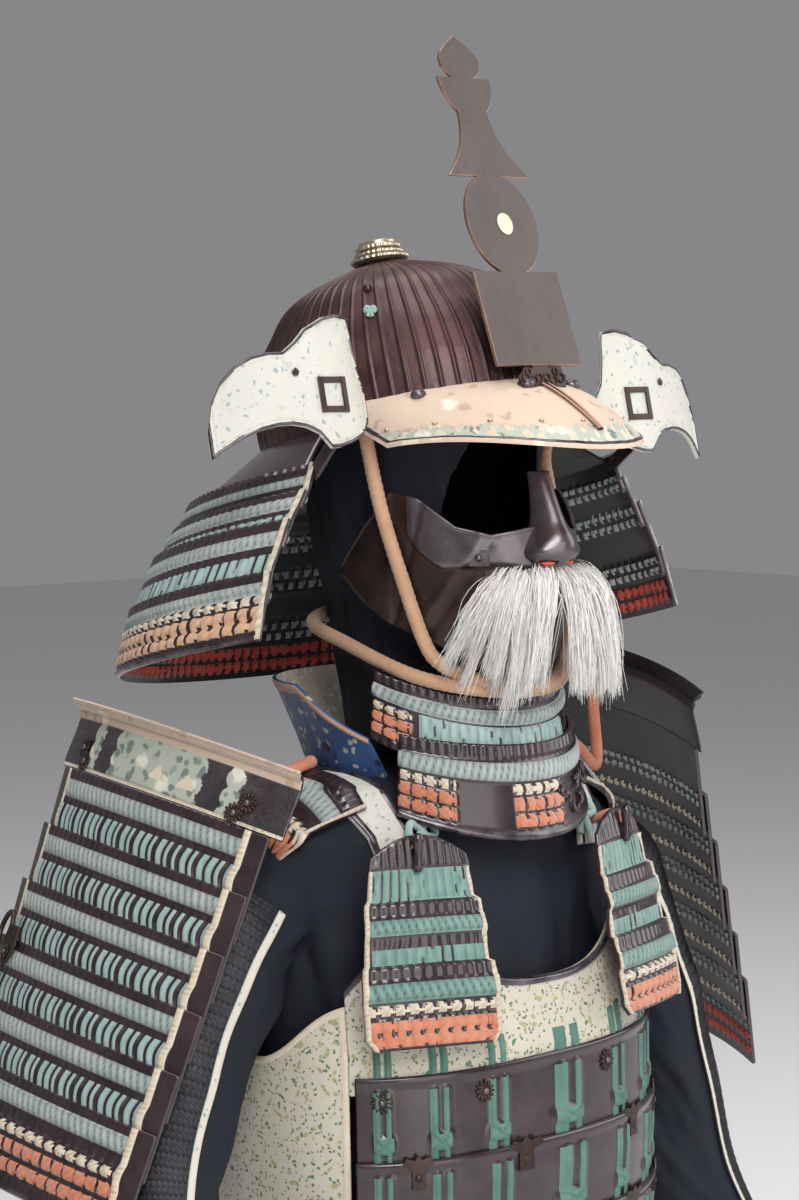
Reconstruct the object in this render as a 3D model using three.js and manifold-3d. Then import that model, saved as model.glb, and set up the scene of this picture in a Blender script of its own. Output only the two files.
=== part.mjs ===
// A worn set of laced plate armour: ridged helmet with its crest and neck guard, iron half mask,
// throat guard, cuirass, shoulder guards, mail sleeves and skirt, over a hollow robe and hood.
// Millimetres, +Z up. The front faces -Y, so "forward" below is -Y, and the wearer's right is -X.
// The origin is at the base of the neck, where the wearer's shoulders carry the set.
import * as THREE from 'three';
import { mergeVertices } from 'three/addons/utils/BufferGeometryUtils.js';
import Module from 'manifold-3d';

const wasm = await Module();
wasm.setup();

// Driving dimensions
const seam = 0.35;            // gap between pieces that touch
const clothWall = 1.6;        // robe and hood cloth, with its turned edge
const plateWall = 2.2;        // lacquered lames
const ironWall = 2.4;         // helmet, mask and board iron
const leatherWall = 2.6;      // faced leather
const helmetPitch = -13;      // degrees, the helmet sits back
const helmetSeat = { forward: -12, z: 250 };

// Points and angles
const rad = (degrees) => degrees * Math.PI / 180;
const at = (x, forward, z) => new THREE.Vector3(x, -forward, z);
const mix = (a, b, share) => a + (b - a) * share;
const range = (count, from, to) => Array.from({ length: count + 1 }, (_, i) => mix(from, to, i / count));
const clamp01 = (value) => Math.min(1, Math.max(0, value));
const turnAway = (turn, centre) => ((turn - centre) % 360 + 540) % 360 - 180;
const bump = (distance, width) => Math.exp(-((distance / width) ** 2));
const power = (value, exponent) => Math.sign(value) * Math.abs(value) ** exponent;

// A table's row at a given key, worked out between its two neighbours
function between(table, key, value) {
  const rising = table[table.length - 1][key] > table[0][key];
  const rows = rising ? table : [...table].reverse();
  const inside = Math.min(Math.max(value, rows[0][key]), rows[rows.length - 1][key]);
  let i = 0;
  while (i < rows.length - 2 && rows[i + 1][key] < inside) i += 1;
  const share = (inside - rows[i][key]) / (rows[i + 1][key] - rows[i][key]);
  const row = {};
  for (const name of Object.keys(rows[i])) row[name] = mix(rows[i][name], rows[i + 1][name], share);
  return row;
}

// Closed bodies
function closedBody(points, faces) {
  let volume = 0;
  for (let i = 0; i < faces.length; i += 3) {
    const [a, b, c] = [points[faces[i]], points[faces[i + 1]], points[faces[i + 2]]];
    volume += a.dot(new THREE.Vector3().crossVectors(b, c));
  }
  const turned = volume < 0 ? [...faces].reverse() : faces;
  const body = new THREE.BufferGeometry().setFromPoints(points);
  body.setIndex(turned);
  return body;
}

// A wall between an outer and an inner grid of points
function wall(outer, inner, round = false) {
  const rows = outer.length;
  const columns = outer[0].length;
  const faces = [];
  const quad = (a, b, c, d) => faces.push(a, b, c, a, c, d);
  const out = (r, c) => r * columns + (c % columns);
  const inn = (r, c) => rows * columns + out(r, c);
  const spans = round ? columns : columns - 1;
  for (let c = 0; c < spans; c += 1) {
    for (let r = 0; r < rows - 1; r += 1) {
      quad(out(r, c + 1), out(r + 1, c + 1), out(r + 1, c), out(r, c));
      quad(inn(r, c + 1), inn(r, c), inn(r + 1, c), inn(r + 1, c + 1));
    }
    quad(inn(0, c), inn(0, c + 1), out(0, c + 1), out(0, c));
    quad(out(rows - 1, c), out(rows - 1, c + 1), inn(rows - 1, c + 1), inn(rows - 1, c));
  }
  if (!round) {
    for (let r = 0; r < rows - 1; r += 1) {
      quad(out(r, 0), out(r + 1, 0), inn(r + 1, 0), inn(r, 0));
      const end = columns - 1;
      quad(inn(r, end), inn(r + 1, end), out(r + 1, end), out(r, end));
    }
  }
  return closedBody([...outer.flat(), ...inner.flat()], faces);
}

// A closed outline carried through stations, with flat ends
function sweep(outline, stations) {
  const count = outline.length;
  const faces = [];
  const points = stations.flatMap((place) => outline.map(([a, b]) => place(a, b)));
  for (let s = 0; s < stations.length - 1; s += 1) {
    for (let i = 0; i < count; i += 1) {
      const [a, b] = [s * count + i, s * count + (i + 1) % count];
      faces.push(a, b, b + count, a, b + count, a + count);
    }
  }
  const flat = outline.map(([a, b]) => new THREE.Vector2(a, b));
  const area = THREE.ShapeUtils.area(flat);
  const last = (stations.length - 1) * count;
  for (const cap of THREE.ShapeUtils.triangulateShape(flat, [])) {
    const [a, b, c] = area > 0 ? cap : [cap[0], cap[2], cap[1]];
    faces.push(a, c, b, last + a, last + b, last + c);
  }
  return closedBody(points, faces);
}

// A full grid with both ends closed by a fan: columns go all the way round
function plug(rows) {
  const columns = rows[0].length;
  const faces = [];
  const points = rows.flat();
  for (let r = 0; r < rows.length - 1; r += 1) {
    for (let c = 0; c < columns; c += 1) {
      const [a, b] = [r * columns + c, r * columns + (c + 1) % columns];
      faces.push(a, b, a + columns, b, b + columns, a + columns);
    }
  }
  const end = points.length - columns;
  for (const [start, flip] of [[0, true], [end, false]]) {
    const centre = new THREE.Vector3();
    for (let c = 0; c < columns; c += 1) centre.add(points[start + c]);
    points.push(centre.divideScalar(columns));
    for (let c = 0; c < columns; c += 1) {
      const [a, b] = [start + c, start + (c + 1) % columns];
      if (flip) faces.push(points.length - 1, b, a);
      else faces.push(points.length - 1, a, b);
    }
  }
  return closedBody(points, faces);
}

// Joins and cuts
function toSolid(geometry) {
  const bare = geometry.clone();
  bare.deleteAttribute('normal');
  bare.deleteAttribute('uv');
  const merged = mergeVertices(bare, 1e-4);
  const vertProperties = new Float32Array(merged.attributes.position.array);
  const triVerts = new Uint32Array(merged.index.array);
  return new wasm.Manifold(new wasm.Mesh({ numProp: 3, vertProperties, triVerts }));
}
function toGeometry(solid) {
  const { vertProperties, triVerts } = solid.getMesh();
  const geometry = new THREE.BufferGeometry();
  geometry.setAttribute('position', new THREE.BufferAttribute(new Float32Array(vertProperties), 3));
  geometry.setIndex(new THREE.BufferAttribute(new Uint32Array(triVerts), 1));
  return geometry;
}
const fuse = (...parts) => parts.map(toSolid).reduce((whole, next) => whole.add(next));
const cut = (geometry, ...tools) => {
  const left = tools.map(toSolid).reduce((whole, next) => whole.subtract(next), toSolid(geometry));
  return largest(left);
};
// A cut may leave slivers: the piece is its one large body
function largest(solid) {
  const bodies = solid.decompose();
  bodies.sort((a, b) => b.volume() - a.volume());
  return toGeometry(bodies[0]);
}

// place(u, v, out): a point of a surface, moved out along its normal
function skin(surface, outward) {
  const step = 0.01;
  return (u, v, out = 0) => {
    const point = surface(u, v);
    const along = surface(u + step, v).sub(surface(u - step, v));
    const down = surface(u, v + step).sub(surface(u, v - step));
    const normal = along.cross(down).normalize();
    if (normal.dot(outward(point)) < 0) normal.negate();
    return point.addScaledVector(normal, out);
  };
}
const fromAxis = (point) => new THREE.Vector3(point.x, point.y, 0);

// A plate from rows of points that run from end to end round its section. Neighbouring rows may
// have different counts: each row carries its own shares, from 0 at one end to 1 at the other.
function zip(faces, a, b) {
  let [i, j] = [0, 0];
  while (i < a.shares.length - 1 || j < b.shares.length - 1) {
    const stepA = j === b.shares.length - 1
      || (i < a.shares.length - 1 && a.shares[i + 1] <= b.shares[j + 1] + 1e-9);
    if (stepA) {
      faces.push(a.index[i], a.index[i + 1], b.index[j]);
      i += 1;
    } else {
      faces.push(a.index[i], b.index[j + 1], b.index[j]);
      j += 1;
    }
  }
}
function plate(rows, round = false) {
  const points = [];
  const faces = [];
  const indexed = rows.map(({ points: own, shares }) => {
    const start = points.length;
    points.push(...own);
    const index = own.map((_, i) => start + i);
    return round ? { index: [...index, start], shares: [...shares, 1] } : { index, shares };
  });
  indexed.forEach((row, r) => zip(faces, row, indexed[(r + 1) % indexed.length]));
  if (!round) {
    for (const last of [false, true]) {
      const ends = indexed.map(({ index }) => index[last ? index.length - 1 : 0]);
      const origin = points[ends[0]];
      const across = points[ends[1]].clone().sub(origin).normalize();
      const third = ends.map((i) => points[i]).reduce((best, point) => {
        const off = point.clone().sub(origin);
        off.addScaledVector(across, -off.dot(across));
        return off.length() > best.length() ? off : best;
      }, new THREE.Vector3());
      third.normalize();
      const flat = ends.map((i) => {
        const off = points[i].clone().sub(origin);
        return new THREE.Vector2(off.dot(across), off.dot(third));
      });
      const turn = THREE.ShapeUtils.area(flat) > 0;
      for (const [x, y, z] of THREE.ShapeUtils.triangulateShape(flat, [])) {
        const [i, j, k] = turn !== last ? [x, y, z] : [x, z, y];
        faces.push(ends[i], ends[j], ends[k]);
      }
    }
  }
  return closedBody(points, faces);
}
// The ribs of a row of overlapping scales, as shares of its length with the height of each
const ribMarks = (ribs) => {
  const marks = [{ share: 0, rise: 0.15 }];
  for (let i = 0; i < ribs; i += 1) {
    marks.push({ share: (i + 0.62) / ribs, rise: 1 }, { share: (i + 1) / ribs, rise: 0.15 });
  }
  return marks;
};
// One lame: rows of its section, ribbed or plain, on a surface place(u, v, out)
function lame(place, { from, to, ribs, ribHeight = 1.3, columns, rows }) {
  const marks = ribMarks(ribs);
  const plain = range(columns, 0, 1);
  return plate(rows.map(({ v, out, ribbed }) => {
    const level = (u) => (typeof v === 'function' ? v(u) : v);
    if (!ribbed) {
      return {
        shares: plain,
        points: plain.map((share) => place(mix(from, to, share), level(mix(from, to, share)), out)),
      };
    }
    return {
      shares: marks.map(({ share }) => share),
      points: marks.map(({ share, rise }) => (
        place(mix(from, to, share), level(mix(from, to, share)), out + rise * ribHeight))),
    };
  }));
}
// A tube or bowl wall: outer rings of one count and inner rings of another
function tube(outerRows, innerRows) {
  const ring = (points) => ({ points, shares: range(points.length, 0, 1).slice(0, -1) });
  return plate([...outerRows.map(ring), ...[...innerRows].reverse().map(ring)], true);
}

// The scene
const armour = new THREE.Group();
const helmet = new THREE.Group();
helmet.position.set(0, -helmetSeat.forward, helmetSeat.z);
helmet.rotation.x = rad(helmetPitch);
armour.add(helmet);
const looks = {
  russetIron: { color: 0x3a2524, roughness: 0.5, metalness: 0.6 },
  darkIron: { color: 0x2a2426, roughness: 0.35, metalness: 0.8 },
  gilt: { color: 0xa98b4e, roughness: 0.35, metalness: 1.0 },
  bronze: { color: 0x5a4c4b, roughness: 0.35, metalness: 0.9 },
  paleLeather: { color: 0xd8d2c0, roughness: 0.7, metalness: 0.0 },
  visorLeather: { color: 0xd5b9a6, roughness: 0.7, metalness: 0.0 },
  lacquer: { color: 0x1d1416, roughness: 0.25, metalness: 0.0 },
  navyCloth: { color: 0x161a2c, roughness: 0.9, metalness: 0.0 },
  brocade: { color: 0x24405f, roughness: 0.8, metalness: 0.0 },
  mail: { color: 0x2a2626, roughness: 0.5, metalness: 0.8 },
  peachCord: { color: 0xc08a5e, roughness: 0.9, metalness: 0.0 },
  orangeCord: { color: 0xd9684a, roughness: 0.9, metalness: 0.0 },
  horsehair: { color: 0xf2f0ea, roughness: 0.6, metalness: 0.0 },
};
function add(name, geometry, look, group = armour) {
  const bare = geometry.index ? geometry.toNonIndexed() : geometry;
  bare.computeVertexNormals();
  const mesh = new THREE.Mesh(bare, new THREE.MeshStandardMaterial(looks[look]));
  mesh.name = name;
  group.add(mesh);
}

// Helmet bowl: iron plates with raised ridges that run up to the top fitting
const bowl = { half: 108, long: 130, height: 136, ridges: 60, ridgeHeight: 1.6 };
const bowlRows = [
  { up: 0, share: 1 }, { up: 48, share: 0.97 }, { up: 88, share: 0.81 }, { up: 119, share: 0.53 },
  { up: 136, share: 0.12 },
];
const bowlPoint = (turn, up, out = 0) => {
  const { share } = between(bowlRows, 'up', up);
  const half = bowl.half * share + out;
  const long = bowl.long * share + out;
  return at(half * Math.sin(turn), long * Math.cos(turn) - 8 * up / bowl.height, up);
};
function bowlBody(out, columns, ridge) {
  const rows = bowlRows.map(({ up }) => range(columns, 0, 2 * Math.PI).slice(0, -1).map((turn, i) => {
    const lift = i % 2 ? ridge : 0;
    const point = bowlPoint(turn, up, out + lift * clamp01(up / 20));
    point.z += out * clamp01(up / 40);
    return point;
  }));
  return plug(rows);
}
const bowlOuter = bowlBody(0, 2 * bowl.ridges, bowl.ridgeHeight);
const bowlHollow = bowlBody(-ironWall, 16, 0);
bowlHollow.translate(0, 0, -1);
add('bowl', cut(bowlOuter, bowlHollow), 'russetIron', helmet);

// Top fitting: stacked scalloped rims round the crown hole
const fitting = { petals: 9, rims: [
  { up: 0.4, radius: 19 }, { up: 3, radius: 21 }, { up: 5, radius: 16 }, { up: 7.5, radius: 18 },
  { up: 10, radius: 14 }, { up: 12.5, radius: 16.5 }, { up: 17, radius: 15 },
] };
const fittingRows = fitting.rims.map(({ up, radius }, i) => range(2 * fitting.petals, 0, 2 * Math.PI)
  .slice(0, -1).map((turn, c) => {
    const reach = radius + (i % 2 ? 0.9 * (c % 2) : 0);
    return at(reach * Math.sin(turn), reach * Math.cos(turn) - 8, bowl.height + up);
  }));
add('top_fitting', plug(fittingRows), 'gilt', helmet);

// Visor: a turned-down peak with a rolled rim
const visor = { reach: 80, columns: 14, wall: 2.4 };
const visorRoot = (turn) => bowlPoint(turn, 14, bowl.ridgeHeight + seam + 0.3);
const visorRim = (turn) => at(
  106 * Math.sin(turn), 47 + 158 * Math.max(0, Math.cos(turn)) ** 0.92, -21 - 30 * Math.cos(turn) ** 2,
);
function visorPoint(turn, share, drop) {
  const root = visorRoot(turn);
  const rim = visorRim(turn);
  const point = root.lerp(rim, share);
  point.z += 7 * Math.sin(Math.PI * share) * Math.cos(turn) - drop;
  return point;
}
const visorTurns = range(visor.columns, rad(-visor.reach), rad(visor.reach));
const visorShares = [0, 0.5, 0.93, 1];
const visorRoll = { from: 0.9, above: 1.2, below: 0.8 };
const visorBody = (grow) => wall(
  visorShares.map((share) => visorTurns.map((turn) => (
    visorPoint(turn, share, -(share > visorRoll.from ? visorRoll.above : 0) - grow)))),
  visorShares.map((share) => visorTurns.map((turn) => (
    visorPoint(turn, share, visor.wall + (share > visorRoll.from ? visorRoll.below : 0) + grow)))),
);
add('visor', visorBody(0), 'visorLeather', helmet);

// Crest socket: an openwork base on the peak's root with the tongue that the crest slides on
const crest = { foot: 143, footUp: 22, top: 108, topUp: 276, wall: 3.2 };
const crestLean = Math.atan2(crest.foot - crest.top, crest.topUp - crest.footUp);
const tongue = { half: 8, wall: 2.2, height: 60 };
const crestPlace = (x, up, out) => at(
  x,
  crest.foot - up * Math.sin(crestLean) + out * Math.cos(crestLean),
  crest.footUp + up * Math.cos(crestLean) + out * Math.sin(crestLean),
);
function crestSlab(outline, back, front) {
  return sweep(outline, [back, front].map((out) => (x, up) => crestPlace(x, up, out)));
}
const arc = (cx, cy, rx, ry, from, to, count) => range(count, rad(from), rad(to))
  .map((turn) => [cx + rx * Math.cos(turn), cy + ry * Math.sin(turn)]);
const socketOutline = [
  [-22, -17], [22, -17], [25, -8], [19, -1], [8, -2], [8, tongue.height], [-8, tongue.height],
  [-8, -2], [-19, -1], [-25, -8],
];
const socketPlate = crestSlab(socketOutline, -tongue.wall / 2, tongue.wall / 2);
const socketStem = sweep(
  [[-4, 0], [4, 0], [2.6, 3], [-2.6, 3]],
  range(5, 0.2, 0.86).map((share) => (x, up) => {
    const point = visorPoint(0, share, -up + 1.5);
    return point.setX(x * mix(1.6, 0.8, share));
  }),
);
add('crest_socket', cut(toGeometry(fuse(socketPlate, socketStem)), visorBody(seam), bowlBody(
  bowl.ridgeHeight + seam, 40, 0)), 'darkIron', helmet);

// Crest: five flat plates in one tower, square, round, concave-sided triangle, half moon and jewel
const crestRoof = { half: 42, waist: 15, from: 150, to: 204 };
const sideArc = (sign) => range(5, 0, 1).map((share) => {
  const { half, waist, from, to } = crestRoof;
  return [sign * (waist + (half - waist) * (1 - share) ** 2.2), mix(from, to, share)];
});
const roofOutline = [...sideArc(1), ...sideArc(-1).reverse()];
const moonOutline = arc(0, 230, 27, 33, 180, 360, 10);
const jewelOutline = [
  ...arc(0, 244, 21, 17, 200, 340, 6), [20, 246], [13, 255], [0, 264], [-13, 255], [-20, 246],
];
const squareOutline = [[-44, 0], [44, 0], [44, 74], [-44, 74]];
const roundOutline = arc(0, 112, 36, 41, 0, 342, 19);
const crestHalf = crest.wall / 2;
const crestPlates = [squareOutline, roundOutline, roofOutline, moonOutline, jewelOutline]
  .map((outline) => crestSlab(outline, -crestHalf, crestHalf));
const slot = crestSlab(
  [[-tongue.half - seam, -5], [tongue.half + seam, -5],
    [tongue.half + seam, tongue.height + 0.5], [-tongue.half - seam, tongue.height + 0.5]],
  -tongue.wall / 2 - seam, tongue.wall / 2 + seam,
);
const sleeveAround = crestSlab(
  [[-tongue.half - 4, 1], [tongue.half + 4, 1], [tongue.half + 4, tongue.height + 4],
    [-tongue.half - 4, tongue.height + 4]],
  -tongue.wall / 2 - seam - 1.6, tongue.wall / 2 + seam + 0.2,
);
add('crest', largest(fuse(...crestPlates, sleeveAround).subtract(toSolid(slot))), 'bronze', helmet);

// Neck guard's form: flared rings from the bowl's edge, open at the front
const guardRings = [
  { ring: 0, half: 111.4, back: 133.4, centre: 0, up: 4, end: 104 },
  { ring: 1, half: 167, back: 172, centre: -12, up: -33, end: 113 },
  { ring: 2, half: 174, back: 176, centre: -18, up: -51, end: 113 },
  { ring: 3, half: 188, back: 183, centre: -24, up: -73, end: 112.5 },
  { ring: 4, half: 207, back: 191, centre: -32, up: -109, end: 112 },
  { ring: 5, half: 221, back: 201, centre: -40, up: -156, end: 111.5 },
];
const guardPlace = skin((share, ring) => {
  const { half, back, centre, up, end } = between(guardRings, 'ring', ring);
  const turn = rad(end) * share;
  return at(half * Math.sin(turn), centre - back * Math.cos(turn), up);
}, (point) => new THREE.Vector3(point.x, point.y, 60));

// Turnbacks: the turned-back front ends of the top lame, faced with leather
const turnbackCurve = [
  { x: 104, forward: 50 }, { x: 118, forward: 74 }, { x: 134, forward: 84 }, { x: 158, forward: 88 },
  { x: 178, forward: 87 }, { x: 205, forward: 81 }, { x: 230, forward: 71 }, { x: 256, forward: 55 },
];
const turnbackEdges = [
  { x: 119, low: -1, high: 14 }, { x: 123, low: -6, high: 22 }, { x: 128, low: -11, high: 32 },
  { x: 131.5, low: -14, high: 50 }, { x: 134, low: -16, high: 72 }, { x: 146, low: -21.5, high: 73.5 },
  { x: 158, low: -24.5, high: 71 }, { x: 167, low: -25, high: 67 }, { x: 176, low: -14, high: 63 },
  { x: 186, low: -9, high: 54 }, { x: 197, low: -6.5, high: 46.5 }, { x: 208, low: -6.5, high: 47 },
  { x: 220, low: -8.5, high: 45 }, { x: 232, low: -13, high: 39 }, { x: 242, low: -18.5, high: 29 },
  { x: 249, low: -22.5, high: 15 }, { x: 253.5, low: -26, high: -6 },
];
const turnbackRoot = { ring: 1.25, out: 3, gap: 1.1, x: 156, w: -12, half: 6, thick: 1.2 };
function turnback(side, drop) {
  const place = skin(
    (x, w) => at(side * x, between(turnbackCurve, 'x', x).forward, w - drop),
    () => new THREE.Vector3(0, -1, 0),
  );
  const rows = [0, 0.07, 0.93, 1];
  const edges = turnbackEdges;
  const grid = (out) => rows.map((share, r) => edges.map(({ x, low, high }, c) => {
    const onRim = r === 0 || r === rows.length - 1 || c === 0 || c === edges.length - 1;
    return place(x, mix(low, high, share), out + (onRim ? Math.sign(out) * 1.2 : 0));
  }));
  const facing = wall(grid(1.4), grid(-1.4));
  const lameEnd = guardPlace(side, turnbackRoot.ring, turnbackRoot.out);
  const ahead = lameEnd.clone().sub(guardPlace(side * 0.99, turnbackRoot.ring, turnbackRoot.out)).normalize();
  const start = lameEnd.addScaledVector(ahead, turnbackRoot.gap);
  const end = place(turnbackRoot.x, turnbackRoot.w, 0);
  const { half, thick } = turnbackRoot;
  const root = sweep(
    [[-half, -thick], [half, -thick], [half, thick], [-half, thick]],
    [0, 0.5, 1].map((share) => (w, out) => {
      const point = start.clone().lerp(end, share);
      point.x += side * out;
      point.z += w;
      return point;
    }),
  );
  return toGeometry(fuse(facing, root));
}
add('turnback_right', turnback(-1, 0), 'paleLeather', helmet);
add('turnback_left', turnback(1, 11), 'paleLeather', helmet);

// The plate under the bowl's edge, and the lames hung from it
const guardColumns = 10;
add('neck_plate', lame(guardPlace, { from: -0.97, to: 0.97, ribs: 1, columns: guardColumns, rows: [
  { v: 0.01, out: 0 }, { v: 1.2, out: 0 }, { v: 1.2, out: -plateWall }, { v: 0.01, out: -plateWall },
] }), 'lacquer', helmet);
const guardLames = [
  { name: 'neck_lame_1', top: 1, low: 2.5, ribs: 18, lift: 4.2 },
  { name: 'neck_lame_2', top: 2, low: 3.5, ribs: 19, lift: 7.9 },
  { name: 'neck_lame_3', top: 3, low: 4.45, ribs: 20, lift: 11.9 },
  { name: 'neck_lame_4', top: 4, low: 5, ribs: 21, lift: 15.2 },
];
for (const { name, top, low, ribs, lift } of guardLames) {
  const last = low === 5;
  const comb = last ? 0.16 : 0.24;
  const braidEnd = last ? 0.4 : 0.62;
  const v = (share) => top + share;
  const rows = [
    { v: v(0), out: lift, ribbed: true }, { v: v(comb), out: lift, ribbed: true },
    { v: v(comb + 0.02), out: lift + 1.5 }, { v: v(braidEnd), out: lift + 1.5 },
    { v: v(braidEnd + 0.02), out: lift }, { v: low, out: lift },
    { v: low, out: lift - plateWall }, { v: v(0), out: lift - plateWall },
  ];
  const size = { from: -1, to: 1, ribs, ribHeight: 1.2, columns: guardColumns, rows };
  add(name, lame(guardPlace, size), 'lacquer', helmet);
}

// Robe: rings from the neck down over the shoulders to the hem, hollow all the way
const torsoRings = [
  { z: 10, half: 62, front: 55, back: 60 }, { z: 0, half: 85, front: 62, back: 72 },
  { z: -15, half: 140, front: 72, back: 85 }, { z: -45, half: 172, front: 88, back: 98 },
  { z: -90, half: 178, front: 98, back: 104 }, { z: -150, half: 164, front: 106, back: 107 },
  { z: -250, half: 156, front: 110, back: 104 }, { z: -330, half: 148, front: 106, back: 98 },
  { z: -410, half: 146, front: 104, back: 98 }, { z: -520, half: 168, front: 116, back: 118 },
  { z: -650, half: 178, front: 122, back: 128 },
];
const torsoRadius = (turn, z) => {
  const { half, front, back } = between(torsoRings, 'z', z);
  return [half * Math.sin(turn), (Math.cos(turn) > 0 ? front : back) * Math.cos(turn)];
};
const torsoSurface = (turn, z) => {
  const [x, forward] = torsoRadius(turn, z);
  return at(x, forward, z);
};
// Large folds of the robe: the angle they run down at, how they drift, and where they begin and end
const robeFolds = [
  { turn: -62, drift: 0.05, width: 6, raise: 7, from: -60, to: -640 },
  { turn: -40, drift: 0.04, width: 5, raise: 6, from: -60, to: -640 },
  { turn: -20, drift: -0.03, width: 5, raise: 5, from: -40, to: -640 },
  { turn: 2, drift: 0.02, width: 6, raise: 6, from: -40, to: -640 },
  { turn: 22, drift: -0.02, width: 5, raise: 5, from: -50, to: -640 },
  { turn: 45, drift: 0.03, width: 6, raise: 6, from: -60, to: -640 },
  { turn: 66, drift: -0.04, width: 5, raise: 6, from: -90, to: -640 },
  { turn: 112, drift: 0.03, width: 7, raise: 6, from: -90, to: -640 },
  { turn: 140, drift: -0.02, width: 6, raise: 5, from: -60, to: -640 },
  { turn: 168, drift: 0.02, width: 6, raise: 6, from: -60, to: -640 },
  { turn: 198, drift: -0.03, width: 6, raise: 5, from: -60, to: -640 },
  { turn: 228, drift: 0.02, width: 7, raise: 6, from: -60, to: -640 },
  { turn: 252, drift: 0.02, width: 6, raise: 5, from: -90, to: -640 },
];
const foldRise = (turnRad, z) => robeFolds.reduce((sum, fold) => {
  const centre = fold.turn + fold.drift * (fold.from - z);
  const away = turnAway(THREE.MathUtils.radToDeg(turnRad), centre);
  const grow = clamp01((fold.from - z) / 60) * clamp01((z - fold.to) / 60 + 1);
  return sum + fold.raise * grow * bump(away, fold.width);
}, 0);
const roundTurns = (count) => range(count, 0, 2 * Math.PI).slice(0, -1);
const torsoZs = [10, 0, -15, -45, -90, -150, -250, -410, -650];
const robeOuter = torsoZs.map((z) => roundTurns(36).map((turn) => {
  const point = torsoSurface(turn, z);
  const rise = foldRise(turn, z) * clamp01((-z - 30) / 60);
  return point.addScaledVector(fromAxis(point).normalize(), rise);
}));
const robeInner = torsoZs.map((z) => roundTurns(18).map((turn) => {
  const point = torsoSurface(turn, z);
  const upright = clamp01((-z - 10) / 60);
  const side = fromAxis(point).normalize();
  point.addScaledVector(side, -clothWall * mix(0.7, 1.6, upright));
  return point.setZ(z - clothWall * 1.4 * (1 - upright));
}));
const robeShell = tube(robeOuter, robeInner);
const torsoCore = (grow) => plug([40, ...torsoZs.slice(0, 8)].map((z, r) => (
  robeOuter[Math.max(0, r - 1)].map((point) => {
    const side = fromAxis(point).normalize();
    const upright = clamp01((-z - 10) / 60);
    return point.clone().addScaledVector(side, grow * mix(0.6, 1.1, upright)).setZ(
      z + (r === 0 ? 0 : grow * mix(1.2, 0, upright)));
  }))));

// Sleeves: rings along the arm, bent forward at the elbow
const armPath = [
  { along: 0, x: 128, forward: -6, z: -68, radius: 44 },
  { along: 1, x: 168, forward: -6, z: -90, radius: 50 },
  { along: 2, x: 205, forward: -5, z: -135, radius: 50 },
  { along: 3, x: 240, forward: -2, z: -205, radius: 44 },
  { along: 4, x: 266, forward: 2, z: -290, radius: 45 },
  { along: 5, x: 272, forward: 20, z: -370, radius: 45 },
  { along: 6, x: 274, forward: 66, z: -440, radius: 43 },
  { along: 7, x: 266, forward: 120, z: -500, radius: 42 },
];
const sleeveFolds = [
  { along: 1.6, turn: 40, width: 0.35, raise: 6 }, { along: 2.3, turn: 120, width: 0.3, raise: 5 },
  { along: 3.1, turn: 60, width: 0.3, raise: 4 }, { along: 5.1, turn: 250, width: 0.25, raise: 4 },
];
function armCentre(side, along) {
  const { x, forward, z } = between(armPath, 'along', along);
  return at(side * x, forward, z);
}
// turn 0 faces outward from the body, 90 faces forward
function armSurface(side, turn, along) {
  const centre = armCentre(side, along);
  const ahead = armCentre(side, Math.min(7, along + 0.5)).sub(armCentre(side, Math.max(0, along - 0.5)));
  ahead.normalize();
  const front = new THREE.Vector3(0, -1, 0);
  front.addScaledVector(ahead, -front.dot(ahead)).normalize();
  const outward = new THREE.Vector3().crossVectors(front, ahead).multiplyScalar(side);
  if (outward.x * side < 0) outward.negate();
  const { radius } = between(armPath, 'along', along);
  return centre.addScaledVector(outward, radius * Math.cos(turn)).addScaledVector(
    front, radius * Math.sin(turn));
}
const armPoint = (side, turn, along, out) => {
  const point = armSurface(side, turn, along);
  const spoke = point.clone().sub(armCentre(side, along)).normalize();
  return point.addScaledVector(spoke, out);
};
const armAlongs = [0, 0.7, 1.3, 2, 3, 4, 5, 6, 7];
const armColumns = 18;
const foldAt = (folds, turn, along) => folds.reduce((sum, row) => (
  sum + row.raise * bump(along - row.along, row.width)
    * bump(turnAway(THREE.MathUtils.radToDeg(turn), row.turn), 60)), 0);
const sleeveBody = (side) => tube(
  armAlongs.map((along) => roundTurns(armColumns).map((turn) => (
    armPoint(side, turn, along, clothWall + foldAt(sleeveFolds, turn, along))))),
  armAlongs.map((along) => roundTurns(armColumns / 2).map((turn) => armPoint(side, turn, along, -0.6))),
);
const armPlug = (side, out) => plug(armAlongs.slice(0, 5).map((along) => (
  roundTurns(armColumns).map((turn) => (
    armPoint(side, turn, along, out + foldAt(sleeveFolds, turn, along)))))));
add('robe_body', cut(robeShell, armPlug(-1, clothWall + seam), armPlug(1, clothWall + seam)), 'navyCloth');
for (const [word, side] of [['right', -1], ['left', 1]]) {
  add(`robe_sleeve_${word}`, cut(
    sleeveBody(side), torsoCore(seam)), 'navyCloth');
}

// Mail sleeves: a band over the outside of each arm, open along the inside
const mail = { from: -100, to: 80, columns: 9, wall: 2.2 };
const mailAlongs = [1.3, 2, 3, 4, 5, 6, 7];
for (const [word, side] of [['right', -1], ['left', 1]]) {
  const turns = range(mail.columns, rad(mail.from), rad(mail.to));
  const grid = (out) => mailAlongs.map((along) => turns.map((turn) => (
    armPoint(side, turn, along, out + foldAt(sleeveFolds, turn, along)))));
  const lift = clothWall + seam + 0.2;
  add(`mail_sleeve_${word}`, wall(grid(lift + mail.wall), grid(lift)), 'mail');
}

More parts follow.
